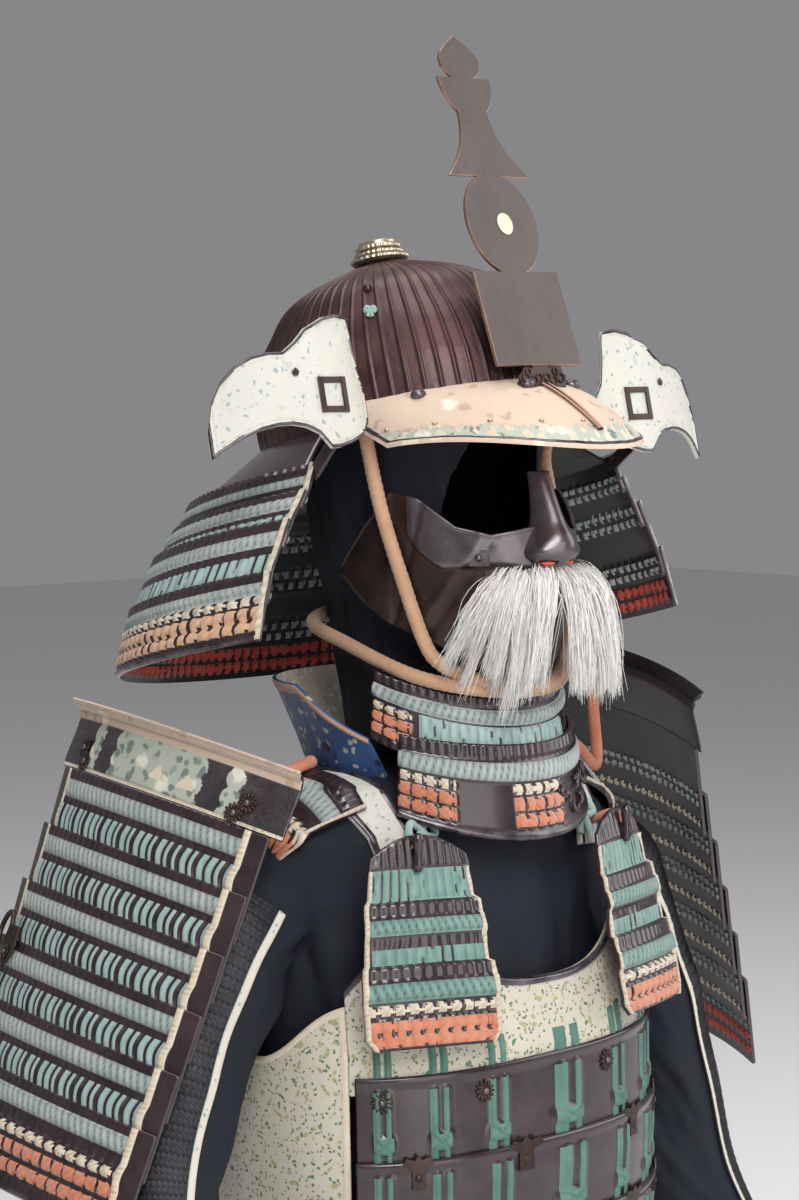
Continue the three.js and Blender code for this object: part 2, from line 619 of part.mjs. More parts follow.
// Hood: hangs inside the helmet down to the neck, open above and below
const hoodRings = [
  { z: 10.4, half: 61, front: 54, back: 59 }, { z: 60, half: 62, front: 52, back: 68 },
  { z: 110, half: 66, front: 62, back: 78 }, { z: 170, half: 76, front: 84, back: 96 },
  { z: 275, half: 86, front: 98, back: 108 },
];
const hoodPoint = (turn, z, out) => {
  const { half, front, back } = between(hoodRings, 'z', z);
  const reach = Math.cos(turn) > 0 ? front : back;
  const folds = out > 0 ? 2.5 * Math.max(0, Math.cos(9 * turn + z / 60)) * clamp01((z - 20) / 60) : 0;
  return at((half + out + folds) * Math.sin(turn), (reach + out + folds) * Math.cos(turn), z);
};
const hoodZs = [10.4, 60, 110, 170, 275];
const faceOpening = new THREE.CylinderGeometry(52, 46, 160, 14);
faceOpening.rotateX(Math.PI / 2);
faceOpening.scale(1, 1, 1.75);
faceOpening.translate(0, -120, 188);
add('hood', cut(tube(
  hoodZs.map((z) => roundTurns(20).map((turn) => hoodPoint(turn, z, 0.01))),
  hoodZs.map((z) => roundTurns(10).map((turn) => hoodPoint(turn, z, -clothWall))),
), faceOpening), 'navyCloth');

// Points that lie on the robe's shoulder: a ray from low in the chest, at a given side position
function overShoulder(x, beta) {
  const inside = (reach) => {
    const [forward, z] = [reach * Math.sin(beta), -90 + reach * Math.cos(beta)];
    if (z > 10) return false;
    const { half, front, back } = between(torsoRings, 'z', z);
    return (x / half) ** 2 + (forward / (forward > 0 ? front : back)) ** 2 < 1;
  };
  let [near, far] = [0, 200];
  for (let i = 0; i < 40; i += 1) {
    const middle = (near + far) / 2;
    if (inside(middle)) near = middle;
    else far = middle;
  }
  return at(x, near * Math.sin(beta), -90 + near * Math.cos(beta));
}
const shoulderPlace = skin(overShoulder, (point) => new THREE.Vector3(0, point.y, point.z + 90));

// Collar: stands round the back and sides of the neck, open at the throat
const collarTurns = range(9, rad(54), rad(306));
const collarRings = [
  { up: 0, half: 92, front: 66, back: 78 }, { up: 0.5, half: 106, front: 70, back: 90 },
  { up: 1, half: 122, front: 74, back: 104 },
];
const collarPoint = (turn, up, out) => {
  const { half, front, back } = between(collarRings, 'up', up);
  const reach = Math.cos(turn) > 0 ? front : back;
  const top = mix(66, 22, clamp01((Math.cos(turn) + 0.1) / 0.8));
  return at((half + out) * Math.sin(turn), (reach + out) * Math.cos(turn), mix(-4, top, up));
};
const collarUps = [0, 0.5, 1];
add('collar', cut(wall(
  collarUps.map((up) => collarTurns.map((turn) => collarPoint(turn, up, 3))),
  collarUps.map((up) => collarTurns.map((turn) => collarPoint(turn, up, 0))),
), torsoCore(seam)), 'brocade');

// Half mask: cheeks that rise to ear corners, a chin, and a mouth that is cut through
const maskEdges = [
  { turn: -88, low: 148, high: 154 }, { turn: -78, low: 128, high: 184 }, { turn: -67, low: 112, high: 211 },
  { turn: -56, low: 104, high: 206 }, { turn: -42, low: 92, high: 186 }, { turn: -28, low: 82, high: 180 },
  { turn: -14, low: 76, high: 184 }, { turn: 0, low: 74, high: 188 }, { turn: 14, low: 76, high: 184 },
  { turn: 28, low: 82, high: 180 }, { turn: 42, low: 92, high: 186 }, { turn: 56, low: 104, high: 206 },
  { turn: 67, low: 112, high: 211 }, { turn: 78, low: 128, high: 184 }, { turn: 88, low: 148, high: 154 },
];
const maskRings = [
  { z: 60, half: 74, front: 108 }, { z: 100, half: 86, front: 122 }, { z: 140, half: 90, front: 129 },
  { z: 175, half: 90, front: 130 }, { z: 215, half: 89, front: 126 },
];
const maskSurface = (turn, z) => {
  const { half, front } = between(maskRings, 'z', z);
  const lips = 7 * bump(THREE.MathUtils.radToDeg(turn), 20) * bump(z - 138, 16);
  return at((half + lips) * Math.sin(turn), (front + lips) * Math.cos(turn), z);
};
const maskPlace = skin(maskSurface, fromAxis);
const maskTurns = range(14, rad(-88), rad(88));
const maskShell = (grow) => {
  const shares = [0, 0.33, 0.66, 1];
  const grid = (out) => shares.map((share) => maskTurns.map((turn) => {
    const { low, high } = between(maskEdges, 'turn', THREE.MathUtils.radToDeg(turn));
    const edge = out > 0 && (share === 1 || share === 0) ? 1 : 0;
    return maskPlace(turn, mix(low - grow, high + grow, share), out + edge);
  }));
  return wall(grid(0.01 + grow), grid(-ironWall - grow));
};
const mouthCut = new THREE.SphereGeometry(1, 14, 8);
mouthCut.scale(27, 30, 7);
mouthCut.translate(0, -maskRings[2].front, 138);
add('mask', cut(maskShell(0), mouthCut), 'darkIron');

// Nose: a hollow iron piece seated on the mask
const noseRows = [
  { z: 226, half: 9, forward: 130, root: 120 }, { z: 210, half: 9, forward: 137, root: 122 },
  { z: 190, half: 12, forward: 147, root: 124 }, { z: 174, half: 19, forward: 156, root: 124 },
  { z: 164, half: 20, forward: 154, root: 126 }, { z: 156, half: 15, forward: 146, root: 128 },
];
const nosePoint = (share, row, out) => {
  const turn = rad(90) * share;
  return at((row.half + out) * Math.sin(turn), row.root - 6 + (row.forward - row.root + 6 + out)
    * Math.cos(turn) ** 0.8, row.z);
};
const noseShares = range(6, -1, 1);
const maskCore = plug(maskRings.map(({ z }) => roundTurns(36).map((turn) => {
  const point = maskSurface(turn, z);
  return point.addScaledVector(fromAxis(point).normalize(), seam + 2.4);
})));
add('nose', cut(wall(
  noseRows.map((row) => noseShares.map((share) => nosePoint(share, row, 0))),
  noseRows.map((row) => noseShares.map((share) => nosePoint(share, row, -ironWall))),
), maskCore), 'darkIron');

// Throat guard: two lames round the front of the neck, the lower outside the upper
const throatFlare = 0.16;
const throatSurface = (turn, z) => at(
  (112 - throatFlare * z) * Math.sin(turn), (116 - throatFlare * 1.2 * z) * Math.cos(turn), z,
);
const throatPlace = skin(throatSurface, fromAxis);
const throat = {
  upper: { reach: 66, lift: 0, ribs: 19, wall: 2.4 }, lower: { reach: 54, lift: 3.8, ribs: 15, wall: 2.4 },
};
const throatEdges = {
  upper: (share) => ({ low: mix(0, 28, share ** 2), high: mix(56, 78, share ** 2) }),
  lower: (share) => ({ low: mix(-49, -28, share ** 2), high: mix(22, 32, share ** 2) }),
};
function throatLame({ reach, lift, ribs, wall: thickness }, edges) {
  const height = (share) => (turn) => {
    const { low, high } = edges(Math.abs(turn) / rad(reach));
    return mix(high, low, share);
  };
  const face = lift + thickness;
  const braid = face + 1.8;
  return lame(throatPlace, { from: rad(-reach), to: rad(reach), ribs, ribHeight: 1.4, columns: 8, rows: [
    { v: height(0), out: face, ribbed: true }, { v: height(0.16), out: face, ribbed: true },
    { v: height(0.18), out: braid }, { v: height(0.42), out: braid },
    { v: height(0.44), out: face }, { v: height(1), out: face },
    { v: height(1), out: lift }, { v: height(0), out: lift },
  ] });
}
add('throat_upper', throatLame(throat.upper, throatEdges.upper), 'lacquer');
add('throat_lower', throatLame(throat.lower, throatEdges.lower), 'lacquer');

// Cuirass: plates on one rounded plan, wider than deep
const cuirassRings = [
  { z: -60, half: 158, front: 106, back: 112 }, { z: -105, half: 168, front: 116, back: 122 },
  { z: -150, half: 174, front: 126, back: 128 }, { z: -200, half: 176, front: 138, back: 130 },
  { z: -290, half: 175, front: 141, back: 128 }, { z: -410, half: 168, front: 134, back: 122 },
  { z: -700, half: 232, front: 190, back: 184 },
];
const cuirassSurface = (turn, z) => {
  const { half, front, back } = between(cuirassRings, 'z', z);
  const reach = Math.cos(turn) > 0 ? front : back;
  return at(half * power(Math.sin(turn), 0.8), reach * power(Math.cos(turn), 0.8), z);
};
const cuirassPlace = skin(cuirassSurface, fromAxis);
// the boards and the skirt hang lower at the wearer's right side
const sideDip = (turn) => 8.25 * Math.sin(turn);
const chestTop = (share) => (share < 0.55
  ? mix(-151, -104, (share / 0.55) ** 2.2) : mix(-104, -150, ((share - 0.55) / 0.45) ** 1.5));
const backTop = (share) => (share < 0.6 ? mix(-72, -84, share / 0.6) : mix(-84, -150, (share - 0.6) / 0.4));
function halfBoard(middle, reach, top, low, lift) {
  const turns = range(13, -1, 1);
  const grid = (out, rolled) => [0, 0.1, 1].map((share, r) => turns.map((side) => {
    const turn = rad(middle + reach * side);
    const z = mix(top(Math.abs(side)), low, share);
    return cuirassPlace(turn, z, out + (rolled && r === 0 ? 1.6 : 0));
  }));
  return wall(grid(lift + leatherWall, true), grid(lift, false));
}
add('chest_leather', halfBoard(0, 58, chestTop, -226, 0), 'paleLeather');
add('back_board', halfBoard(180, 58, backTop, -226, 0), 'lacquer');

// Boards: three rings round the body, open at the wearer's right side
const boards = [
  { name: 'board_1', top: -206, low: -286, lift: 4.3 }, { name: 'board_2', top: -268, low: -348, lift: 8.1 },
  { name: 'board_3', top: -331, low: -412, lift: 12.2 },
];
const boardEnds = { from: -56, to: 236 };
for (const { name, top, low, lift } of boards) {
  const profile = [
    [top, 0.2], [top + 0.5, 2.2], [top - 1.5, 3.8], [top - 6, 3.4], [top - 8, ironWall],
    [low, ironWall], [low, 0],
  ];
  const stations = range(17, boardEnds.from, boardEnds.to).map((turn) => (z, out) => (
    cuirassPlace(rad(turn), z + sideDip(rad(turn)), lift + out)));
  add(name, sweep(profile, stations), 'lacquer');
}

// Side pieces: dotted leather under each arm, inside the boards
const sideReach = 31.8;
function sidePiece(middle) {
  const turns = range(8, -1, 1);
  const grid = (out) => [0, 0.3, 1].map((share) => turns.map((side) => {
    const turn = rad(middle + sideReach * side);
    const z = mix(-158 - 48 * bump(side, 0.62), -420, share);
    return cuirassPlace(turn, z, out);
  }));
  return wall(grid(leatherWall - 0.5), grid(-0.5));
}
add('side_guard_right', sidePiece(270), 'paleLeather');
add('side_guard_left', sidePiece(90), 'paleLeather');

// Shoulder straps, each with its laced shoulder plate
const strap = {
  middle: 118, frontMiddle: 98, half: 19, frontHalf: 14, wall: 5, front: 74, back: -72, lift: 1, stations: 9,
};
const shoulderPlate = {
  from: 112, to: 170, wall: 2.4, ribs: 7, back: -42, front: 40, lift: 7.5,
};
for (const [word, side] of [['right', -1], ['left', 1]]) {
  const place = (x, beta, out) => shoulderPlace(side * x, beta, out);
  const band = sweep(
    [[-1, strap.lift], [1, strap.lift], [1, strap.lift + strap.wall], [-1, strap.lift + strap.wall]],
    range(strap.stations, rad(strap.back), rad(strap.front)).map((beta) => (share, out) => {
      const ahead = clamp01(beta / rad(strap.front));
      const x = mix(strap.middle, strap.frontMiddle, ahead) + share * mix(strap.half, strap.frontHalf, ahead);
      return place(x, beta, out);
    }),
  );
  const { from, to, lift } = shoulderPlate;
  const laced = lame((beta, x, out) => place(x, beta, out), {
    from: rad(shoulderPlate.back), to: rad(shoulderPlate.front), ribs: shoulderPlate.ribs, ribHeight: 1.2,
    columns: 5, rows: [
      { v: from, out: lift + 0.4, ribbed: true }, { v: mix(from, to, 0.2), out: lift, ribbed: true },
      { v: mix(from, to, 0.22), out: lift + 1.6 }, { v: mix(from, to, 0.5), out: lift + 1.6 },
      { v: mix(from, to, 0.52), out: lift }, { v: to, out: lift },
      { v: to, out: lift - shoulderPlate.wall }, { v: from, out: lift - 2 * shoulderPlate.wall },
    ],
  });
  const whole = toGeometry(fuse(band, laced));
  add(`shoulder_strap_${word}`, cut(whole, torsoCore(seam), halfBoard(0, 58, chestTop, -226, -seam),
    halfBoard(180, 58, backTop, -226, -seam), armPlug(side, clothWall + seam)), 'paleLeather');
}

// Shoulder guards: a board with a flange, and six laced lames below it, bowed and tilted outward
const guard = {
  half: 132, lameHalf: 122, radius: 330, board: 34, firstLame: 10, pitch: 45, lameHeight: 80,
  lean: 0.105, ribs: 12, columns: 4,
};
const guardSeats = {
  right: { side: -1, x: 238, forward: -44, z: 1, tilt: 22, turn: 7 },
  left: { side: 1, x: 240, forward: -36, z: 30, tilt: 24, turn: 7 },
};
function guardFrame(word) {
  const seat = guardSeats[word];
  const { side } = seat;
  const [tilt, turn] = [rad(seat.tilt), rad(seat.turn)];
  const down = at(side * Math.sin(tilt), -Math.sin(turn) * Math.cos(tilt), -Math.cos(turn) * Math.cos(tilt));
  const along = at(0, Math.cos(turn), -Math.sin(turn));
  const out = at(side * Math.cos(tilt), Math.sin(turn) * Math.sin(tilt), Math.cos(turn) * Math.sin(tilt));
  return (p, q, m = 0) => {
    const bow = p / guard.radius;
    return at(side * seat.x, seat.forward, seat.z)
      .addScaledVector(along, (guard.radius + m) * Math.sin(bow))
      .addScaledVector(out, (guard.radius + m) * Math.cos(bow) - guard.radius)
      .addScaledVector(down, q);
  };
}
function guardLame(place, top, last) {
  const back = (q) => -(q - top) * guard.lean;
  const row = (q, lift, ribbed) => ({ v: top + q, out: back(top + q) + lift, ribbed });
  const tail = last
    ? [row(28, 1.8), row(30, 0), row(guard.lameHeight, 0), row(guard.lameHeight, -plateWall)]
    : [row(27, 1.8), row(32, 0.4), row(50, 1.8), row(52, 0),
      row(guard.lameHeight, 0), row(guard.lameHeight, -plateWall)];
  return lame(place, {
    from: -guard.lameHalf, to: guard.lameHalf, ribs: guard.ribs, ribHeight: 1.2, columns: guard.columns,
    rows: [row(0, 0, true), row(11, 0, true), row(12, 1.8), ...tail, row(0, -plateWall)],
  });
}
for (const word of ['right', 'left']) {
  const place = guardFrame(word);
  const stations = range(6, -guard.half, guard.half);
  const edge = guard.board;
  const foot = guard.firstLame - seam;
  const boardOutline = [
    [foot, 0.6], [-edge + 5, 0.6], [-edge, 3], [-edge - 5, 12], [-edge - 7.5, 11.2], [-edge - 3, 1],
    [-edge + 4, -2.2], [foot, -2.2],
  ];
  const board = sweep(boardOutline, stations.map((p) => (q, m) => place(p, q, m)));
  add(`guard_board_${word}`, board, 'lacquer');
  for (let i = 0; i < 6; i += 1) {
    const top = guard.firstLame + guard.pitch * i;
    add(`guard_lame_${word}_${i + 1}`, guardLame(place, top, i === 5), 'lacquer');
  }
}

// A cord's round section
const cordSection = (radius) => {
  const shape = new THREE.Shape();
  arc(0, 0, radius, radius, 0, 315, 7).forEach(([x, y], i) => (i ? shape.lineTo(x, y) : shape.moveTo(x, y)));
  return shape;
};

// Hanging chest plates: laced lames under a rounded ribbed head, tied to the straps
const hanging = {
  x: { right: 110, left: 99 }, forward: 108, z: -36, tilt: 15, turn: 20, radius: 260, ribs: 7,
};
const hangingRows = [
  { q: 0, half: 38, out: 0, ribbed: true }, { q: 24, half: 40, out: 0, ribbed: true },
  { q: 26, half: 40, out: -1.4 }, { q: 47, half: 43, out: -3 }, { q: 48, half: 46, out: 1, ribbed: true },
  { q: 59, half: 47, out: 1, ribbed: true }, { q: 60, half: 47, out: 2.4 }, { q: 72, half: 48, out: 2.4 },
  { q: 73, half: 48, out: 0 }, { q: 94, half: 50, out: -2 }, { q: 95, half: 52, out: 2, ribbed: true },
  { q: 105, half: 53, out: 2, ribbed: true }, { q: 106, half: 53, out: 3.2 }, { q: 119, half: 54, out: 3.2 },
  { q: 120, half: 54, out: 1 }, { q: 146, half: 54, out: -1 }, { q: 154, half: 48, out: -1.8 },
];
function hangingFrame(word) {
  const side = word === 'right' ? -1 : 1;
  const [tilt, turn] = [rad(hanging.tilt), rad(hanging.turn)];
  const along = at(side * Math.cos(turn), -Math.sin(turn), 0);
  const out = at(side * Math.sin(turn) * Math.cos(tilt), Math.cos(turn) * Math.cos(tilt), Math.sin(tilt));
  const down = at(side * Math.sin(turn) * Math.sin(tilt), Math.cos(turn) * Math.sin(tilt), -Math.cos(tilt));
  const { radius } = hanging;
  return (share, q, m = 0) => {
    const { half } = between(hangingRows, 'q', q);
    const bow = share * half / radius;
    const crown = 16 * share ** 2 * clamp01(1 - q / 24);
    return at(side * hanging.x[word], hanging.forward, hanging.z)
      .addScaledVector(along, (radius + m) * Math.sin(bow))
      .addScaledVector(out, (radius + m) * Math.cos(bow) - radius)
      .addScaledVector(down, q + crown);
  };
}
for (const word of ['right', 'left']) {
  const face = hangingRows.map(({ q, out, ribbed }) => ({ v: q, out, ribbed }));
  const back = [...hangingRows].reverse().filter(({ q }) => [0, 47, 94, 154].includes(q))
    .map(({ q, out }) => ({ v: q, out: out - plateWall }));
  const place = hangingFrame(word);
  const body = lame(place, {
    from: -1, to: 1, ribs: hanging.ribs, ribHeight: 1.2, columns: 4, rows: [...face, ...back],
  });
  const side = Math.sign(place(0, 0).x);
  const onStrap = shoulderPlace(side * strap.frontMiddle, rad(62), strap.lift + strap.wall + 0.5);
  const tie = new THREE.LineCurve3(place(0.1, 12, -1), onStrap);
  const toggle = new THREE.ExtrudeGeometry(cordSection(3), { steps: 1, curveSegments: 1, extrudePath: tie });
  add(`chest_plate_${word}`, toGeometry(fuse(body, toggle)), 'lacquer');
}

// Skirt: seven laced panels hung inside the lowest board's edge
const skirt = {
  panels: 7, gap: 3, top: -428, low: -668, flap: 24, wall: 2.4, lames: 3, step: 3.2, columns: 4, inset: 3,
};
const boardThree = boards[2];
function skirtPanel(index) {
  const span = 360 / skirt.panels;
  const middle = span * (index + 0.5) - 90;
  const half = (span - skirt.gap) / 2;
  const flapOut = boardThree.lift - skirt.inset + 1.1 * Math.max(0, -Math.sin(rad(middle)));
  const row = (z, out) => ({ v: (turn) => z + sideDip(turn), out });
  const rows = [row(skirt.top + skirt.flap, flapOut), row(skirt.top, flapOut)];
  for (let i = 0; i < skirt.lames; i += 1) {
    const out = flapOut + skirt.step * (i + 1);
    rows.push(row(mix(skirt.top, skirt.low, i / skirt.lames) - 0.5, out));
    rows.push(row(mix(skirt.top, skirt.low, (i + 1) / skirt.lames), out));
  }
  rows.push(row(skirt.low, flapOut + skirt.step * skirt.lames - skirt.wall));
  rows.push(row(skirt.top, flapOut - skirt.wall));
  rows.push(row(skirt.top + skirt.flap, flapOut - skirt.wall));
  return lame(cuirassPlace, {
    from: rad(middle - half), to: rad(middle + half), ribs: 1, ribHeight: 0, columns: skirt.columns, rows,
  });
}
for (let i = 0; i < skirt.panels; i += 1) add(`skirt_panel_${i + 1}`, skirtPanel(i), 'lacquer');

// Moustache: tapered locks of horsehair from a strip on the upper lip
const whiskers = { locks: 7, z: 149.5, thick: 3.2 };
const whiskerTips = {
  right: [{ x: -10, forward: 144, z: 64 }, { x: -45, forward: 122, z: 58 }, { x: -80, forward: 90, z: 78 }],
  left: [{ x: 12, forward: 150, z: 64 }, { x: 50, forward: 142, z: 54 }, { x: 86, forward: 120, z: 62 }],
};
function whisker(root, tip, spread) {
  const bulge = root.clone().lerp(tip, 0.35).add(at(spread * 6, 12, 14));
  const path = new THREE.QuadraticBezierCurve3(root, bulge, tip);
  const rings = range(2, 0, 1).map((share) => {
    const centre = path.getPoint(share);
    const ahead = path.getTangent(share);
    const sideways = new THREE.Vector3().crossVectors(ahead, at(0, 1, 0)).normalize();
    const lift = new THREE.Vector3().crossVectors(sideways, ahead);
    const thick = whiskers.thick * mix(1, 0.16, share ** 1.3);
    return [90, 210, 330].map((turn) => centre.clone()
      .addScaledVector(sideways, thick * Math.cos(rad(turn)))
      .addScaledVector(lift, thick * 0.7 * Math.sin(rad(turn))));
  });
  return plug(rings);
}
const strip = sweep(
  [[-2.5, seam], [2.5, seam], [2.5, 4], [-2.5, 4]],
  range(6, rad(-26), rad(26)).map((turn) => (z, out) => maskPlace(turn, whiskers.z + z, out)),
);
const locks = Object.entries(whiskerTips).flatMap(([word, tips]) => range(whiskers.locks - 1, 0.04, 1).map(
  (share, i) => {
    const side = word === 'right' ? -1 : 1;
    const row = between(tips.map((tip, k) => ({ ...tip, share: k / 2 })), 'share', share);
    const root = maskPlace(side * rad(2 + 22 * share), whiskers.z - (i % 2), 3.2);
    const tip = at(row.x, row.forward + (i % 2 ? 5 : 0), row.z + (i % 3) * 7);
    return whisker(root, tip, side * share);
  },
));
add('moustache', cut(toGeometry(fuse(strip, ...locks)), maskShell(seam)), 'horsehair');

// Chin cord: from the helmet's sides down over the mask's cheeks, under the chin and round the neck
const chinCord = { radius: 5, lift: 6.6 };
const cheekRoute = [
  { turn: 73, z: 232 }, { turn: 71, z: 214 }, { turn: 68, z: 190 }, { turn: 62, z: 153 },
  { turn: 53, z: 104 }, { turn: 46, z: 86 }, { turn: 30, z: 74 }, { turn: 12, z: 68 },
];
const cordEnds = [at(98, 38, 274), at(97, 38, 256)];
const cheekPoints = [...cordEnds, ...cheekRoute.map(({ turn, z }) => maskPlace(rad(turn), z, chinCord.lift))];
const mirrored = (points) => points.map((point) => new THREE.Vector3(-point.x, point.y, point.z));
const cordTube = (points, radius, steps, closed = false) => new THREE.ExtrudeGeometry(cordSection(radius), {
  steps, curveSegments: 1, extrudePath: new THREE.CatmullRomCurve3(points, closed),
});
const neckLoop = [
  at(0, 111, 61.6), at(-44, 101, 65), at(-76, 66, 75), at(-80, 0, 94), at(-61, -61, 106), at(0, -86, 112),
  at(61, -61, 106), at(80, 0, 94), at(76, 66, 75), at(44, 101, 65),
];
const cordWhole = fuse(
  cordTube([...mirrored(cheekPoints), ...cheekPoints.reverse()], chinCord.radius, 24),
  cordTube(neckLoop, chinCord.radius, 16, true),
);
const inHelmet = (geometry) => {
  helmet.updateMatrixWorld(true);
  return geometry.clone().applyMatrix4(helmet.matrixWorld);
};
const bowlPlug = bowlBody(bowl.ridgeHeight + seam, 40, 0);
bowlPlug.translate(0, 0, -seam);
add('chin_cord', largest(cordWhole.subtract(toSolid(inHelmet(visorBody(seam))))
  .subtract(toSolid(inHelmet(bowlPlug)))), 'peachCord');

// Shoulder cords: tie each shoulder guard's board to its strap
for (const [word, side] of [['right', -1], ['left', 1]]) {
  const place = guardFrame(word);
  const board = (p, m) => place(p, -16, m);
  const points = [
    shoulderPlace(side * 106, rad(-10), strap.lift + strap.wall + 3.8),
    shoulderPlace(side * 112, rad(-2), strap.lift + strap.wall + 9),
    shoulderPlace(side * 140, rad(4), 22), shoulderPlace(side * 168, rad(2), 30),
    board(14, -24), board(12, -3.6 - seam),
  ];
  add(`shoulder_cord_${word}`, cordTube(points, 4.5, 14), 'orangeCord');
}

export default armour;
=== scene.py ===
import bpy
import bmesh
import math
import numpy as np
from mathutils import Matrix, Vector


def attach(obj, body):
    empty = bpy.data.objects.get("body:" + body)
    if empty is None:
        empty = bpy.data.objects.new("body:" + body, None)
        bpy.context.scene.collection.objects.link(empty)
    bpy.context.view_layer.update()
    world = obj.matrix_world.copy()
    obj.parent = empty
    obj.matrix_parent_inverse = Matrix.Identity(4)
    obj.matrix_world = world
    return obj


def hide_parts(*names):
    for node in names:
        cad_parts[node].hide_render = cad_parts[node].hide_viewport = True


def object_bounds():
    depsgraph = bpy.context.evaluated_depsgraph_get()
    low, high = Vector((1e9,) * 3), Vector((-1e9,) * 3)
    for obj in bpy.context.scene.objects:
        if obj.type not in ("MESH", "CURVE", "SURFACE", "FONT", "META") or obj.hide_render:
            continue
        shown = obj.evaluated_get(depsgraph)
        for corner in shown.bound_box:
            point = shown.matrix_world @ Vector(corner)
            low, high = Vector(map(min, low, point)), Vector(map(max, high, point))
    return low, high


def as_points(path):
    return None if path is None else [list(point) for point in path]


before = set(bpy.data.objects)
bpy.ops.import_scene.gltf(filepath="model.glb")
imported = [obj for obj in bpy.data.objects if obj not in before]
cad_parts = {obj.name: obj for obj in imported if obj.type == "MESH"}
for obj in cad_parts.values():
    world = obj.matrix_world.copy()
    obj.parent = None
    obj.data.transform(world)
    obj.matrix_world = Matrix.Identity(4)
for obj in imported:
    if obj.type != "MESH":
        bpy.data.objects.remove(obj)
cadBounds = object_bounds()

# Camera: the photo's angle and distance
eye = {"azimuth": -43.0, "elevation": 4.5, "distance": 2.6, "target": (-0.0143, 0.0134, 0.123), "lens": 101.4}


def aimCamera():
    az, el = math.radians(eye["azimuth"]), math.radians(eye["elevation"])
    back = Vector((math.sin(az) * math.cos(el), -math.cos(az) * math.cos(el), math.sin(el)))
    camData = bpy.data.cameras.new("camera")
    camData.lens = eye["lens"]
    camData.sensor_width = 36
    camera = bpy.data.objects.new("camera", camData)
    bpy.context.scene.collection.objects.link(camera)
    camera.location = Vector(eye["target"]) + back * eye["distance"]
    camera.rotation_euler = back.to_track_quat("Z", "Y").to_euler()
    bpy.context.scene.camera = camera


aimCamera()
print("camera set")


# Numbers
def rad(degrees):
    return np.radians(degrees)


def mix(a, b, share):
    return a + (b - a) * share


def ease(value):
    value = np.clip(value, 0, 1)
    return value * value * (3 - 2 * value)


def bump(distance, width):
    return np.exp(-((distance / width) ** 2))


def power(value, exponent):
    return np.sign(value) * np.abs(value) ** exponent


def at(x, forward, z):
    x, forward, z = np.broadcast_arrays(x, forward, z)
    return np.stack([x, -forward, z], axis=-1).astype(float)


def lookup(table, key, value, name):
    rows = sorted(table, key=lambda row: row[key])
    return np.interp(value, [row[key] for row in rows], [row[name] for row in rows])


def smoothLookup(table, key, value, name):
    # a smooth line through the rows, close to the straight one
    rows = sorted(table, key=lambda row: row[key])
    xs = np.array([row[key] for row in rows], float)
    ys = np.array([row[name] for row in rows], float)
    slopes = np.gradient(ys, xs)
    value = np.clip(value, xs[0], xs[-1])
    i = np.clip(np.searchsorted(xs, value) - 1, 0, len(xs) - 2)
    h = xs[i + 1] - xs[i]
    t = (value - xs[i]) / h
    a = ys[i] * (2 * t ** 3 - 3 * t ** 2 + 1) + ys[i + 1] * (3 * t ** 2 - 2 * t ** 3)
    return a + h * (slopes[i] * (t ** 3 - 2 * t ** 2 + t) + slopes[i + 1] * (t ** 3 - t ** 2))


def frac(value):
    return value - np.floor(value)


def wobble(u, v, seed, scale=1.0):
    # a smooth made-up unevenness
    a = np.sin(u * 0.071 * scale + seed * 1.7) * np.cos(v * 0.093 * scale + seed * 2.3)
    b = np.sin(u * 0.19 * scale + v * 0.13 * scale + seed * 3.1)
    return 0.6 * a + 0.4 * b


def skin(surface, outward, step=0.01):
    # place(u, v, out): a point moved out along the surface's own normal
    def place(u, v, out=0.0):
        point = surface(u, v)
        along = surface(u + step, v) - surface(u - step, v)
        down = surface(u, v + step) - surface(u, v - step)
        normal = np.cross(along, down)
        normal /= np.maximum(np.linalg.norm(normal, axis=-1, keepdims=True), 1e-9)
        turned = np.sum(normal * outward(point), axis=-1, keepdims=True) < 0
        normal = np.where(turned, -normal, normal)
        return point + normal * np.asarray(out)[..., None]
    return place


def fromAxis(point):
    return point * np.array([1, 1, 0])


# Colours and finishes
def newMaterial(name):
    material = bpy.data.materials.new(name)
    material.use_nodes = True
    nodes, links = material.node_tree.nodes, material.node_tree.links
    nodes.clear()
    shader = nodes.new("ShaderNodeBsdfPrincipled")
    output = nodes.new("ShaderNodeOutputMaterial")
    links.new(shader.outputs[0], output.inputs[0])
    return material, nodes, links, shader


def makeGroup(name, inputs, outputs):
    tree = bpy.data.node_groups.new(name, "ShaderNodeTree")
    for title, kind, start in inputs:
        socket = tree.interface.new_socket(title, in_out="INPUT", socket_type=kind)
        socket.default_value = start
    for title, kind in outputs:
        tree.interface.new_socket(title, in_out="OUTPUT", socket_type=kind)
    return tree, tree.nodes.new("NodeGroupInput"), tree.nodes.new("NodeGroupOutput")


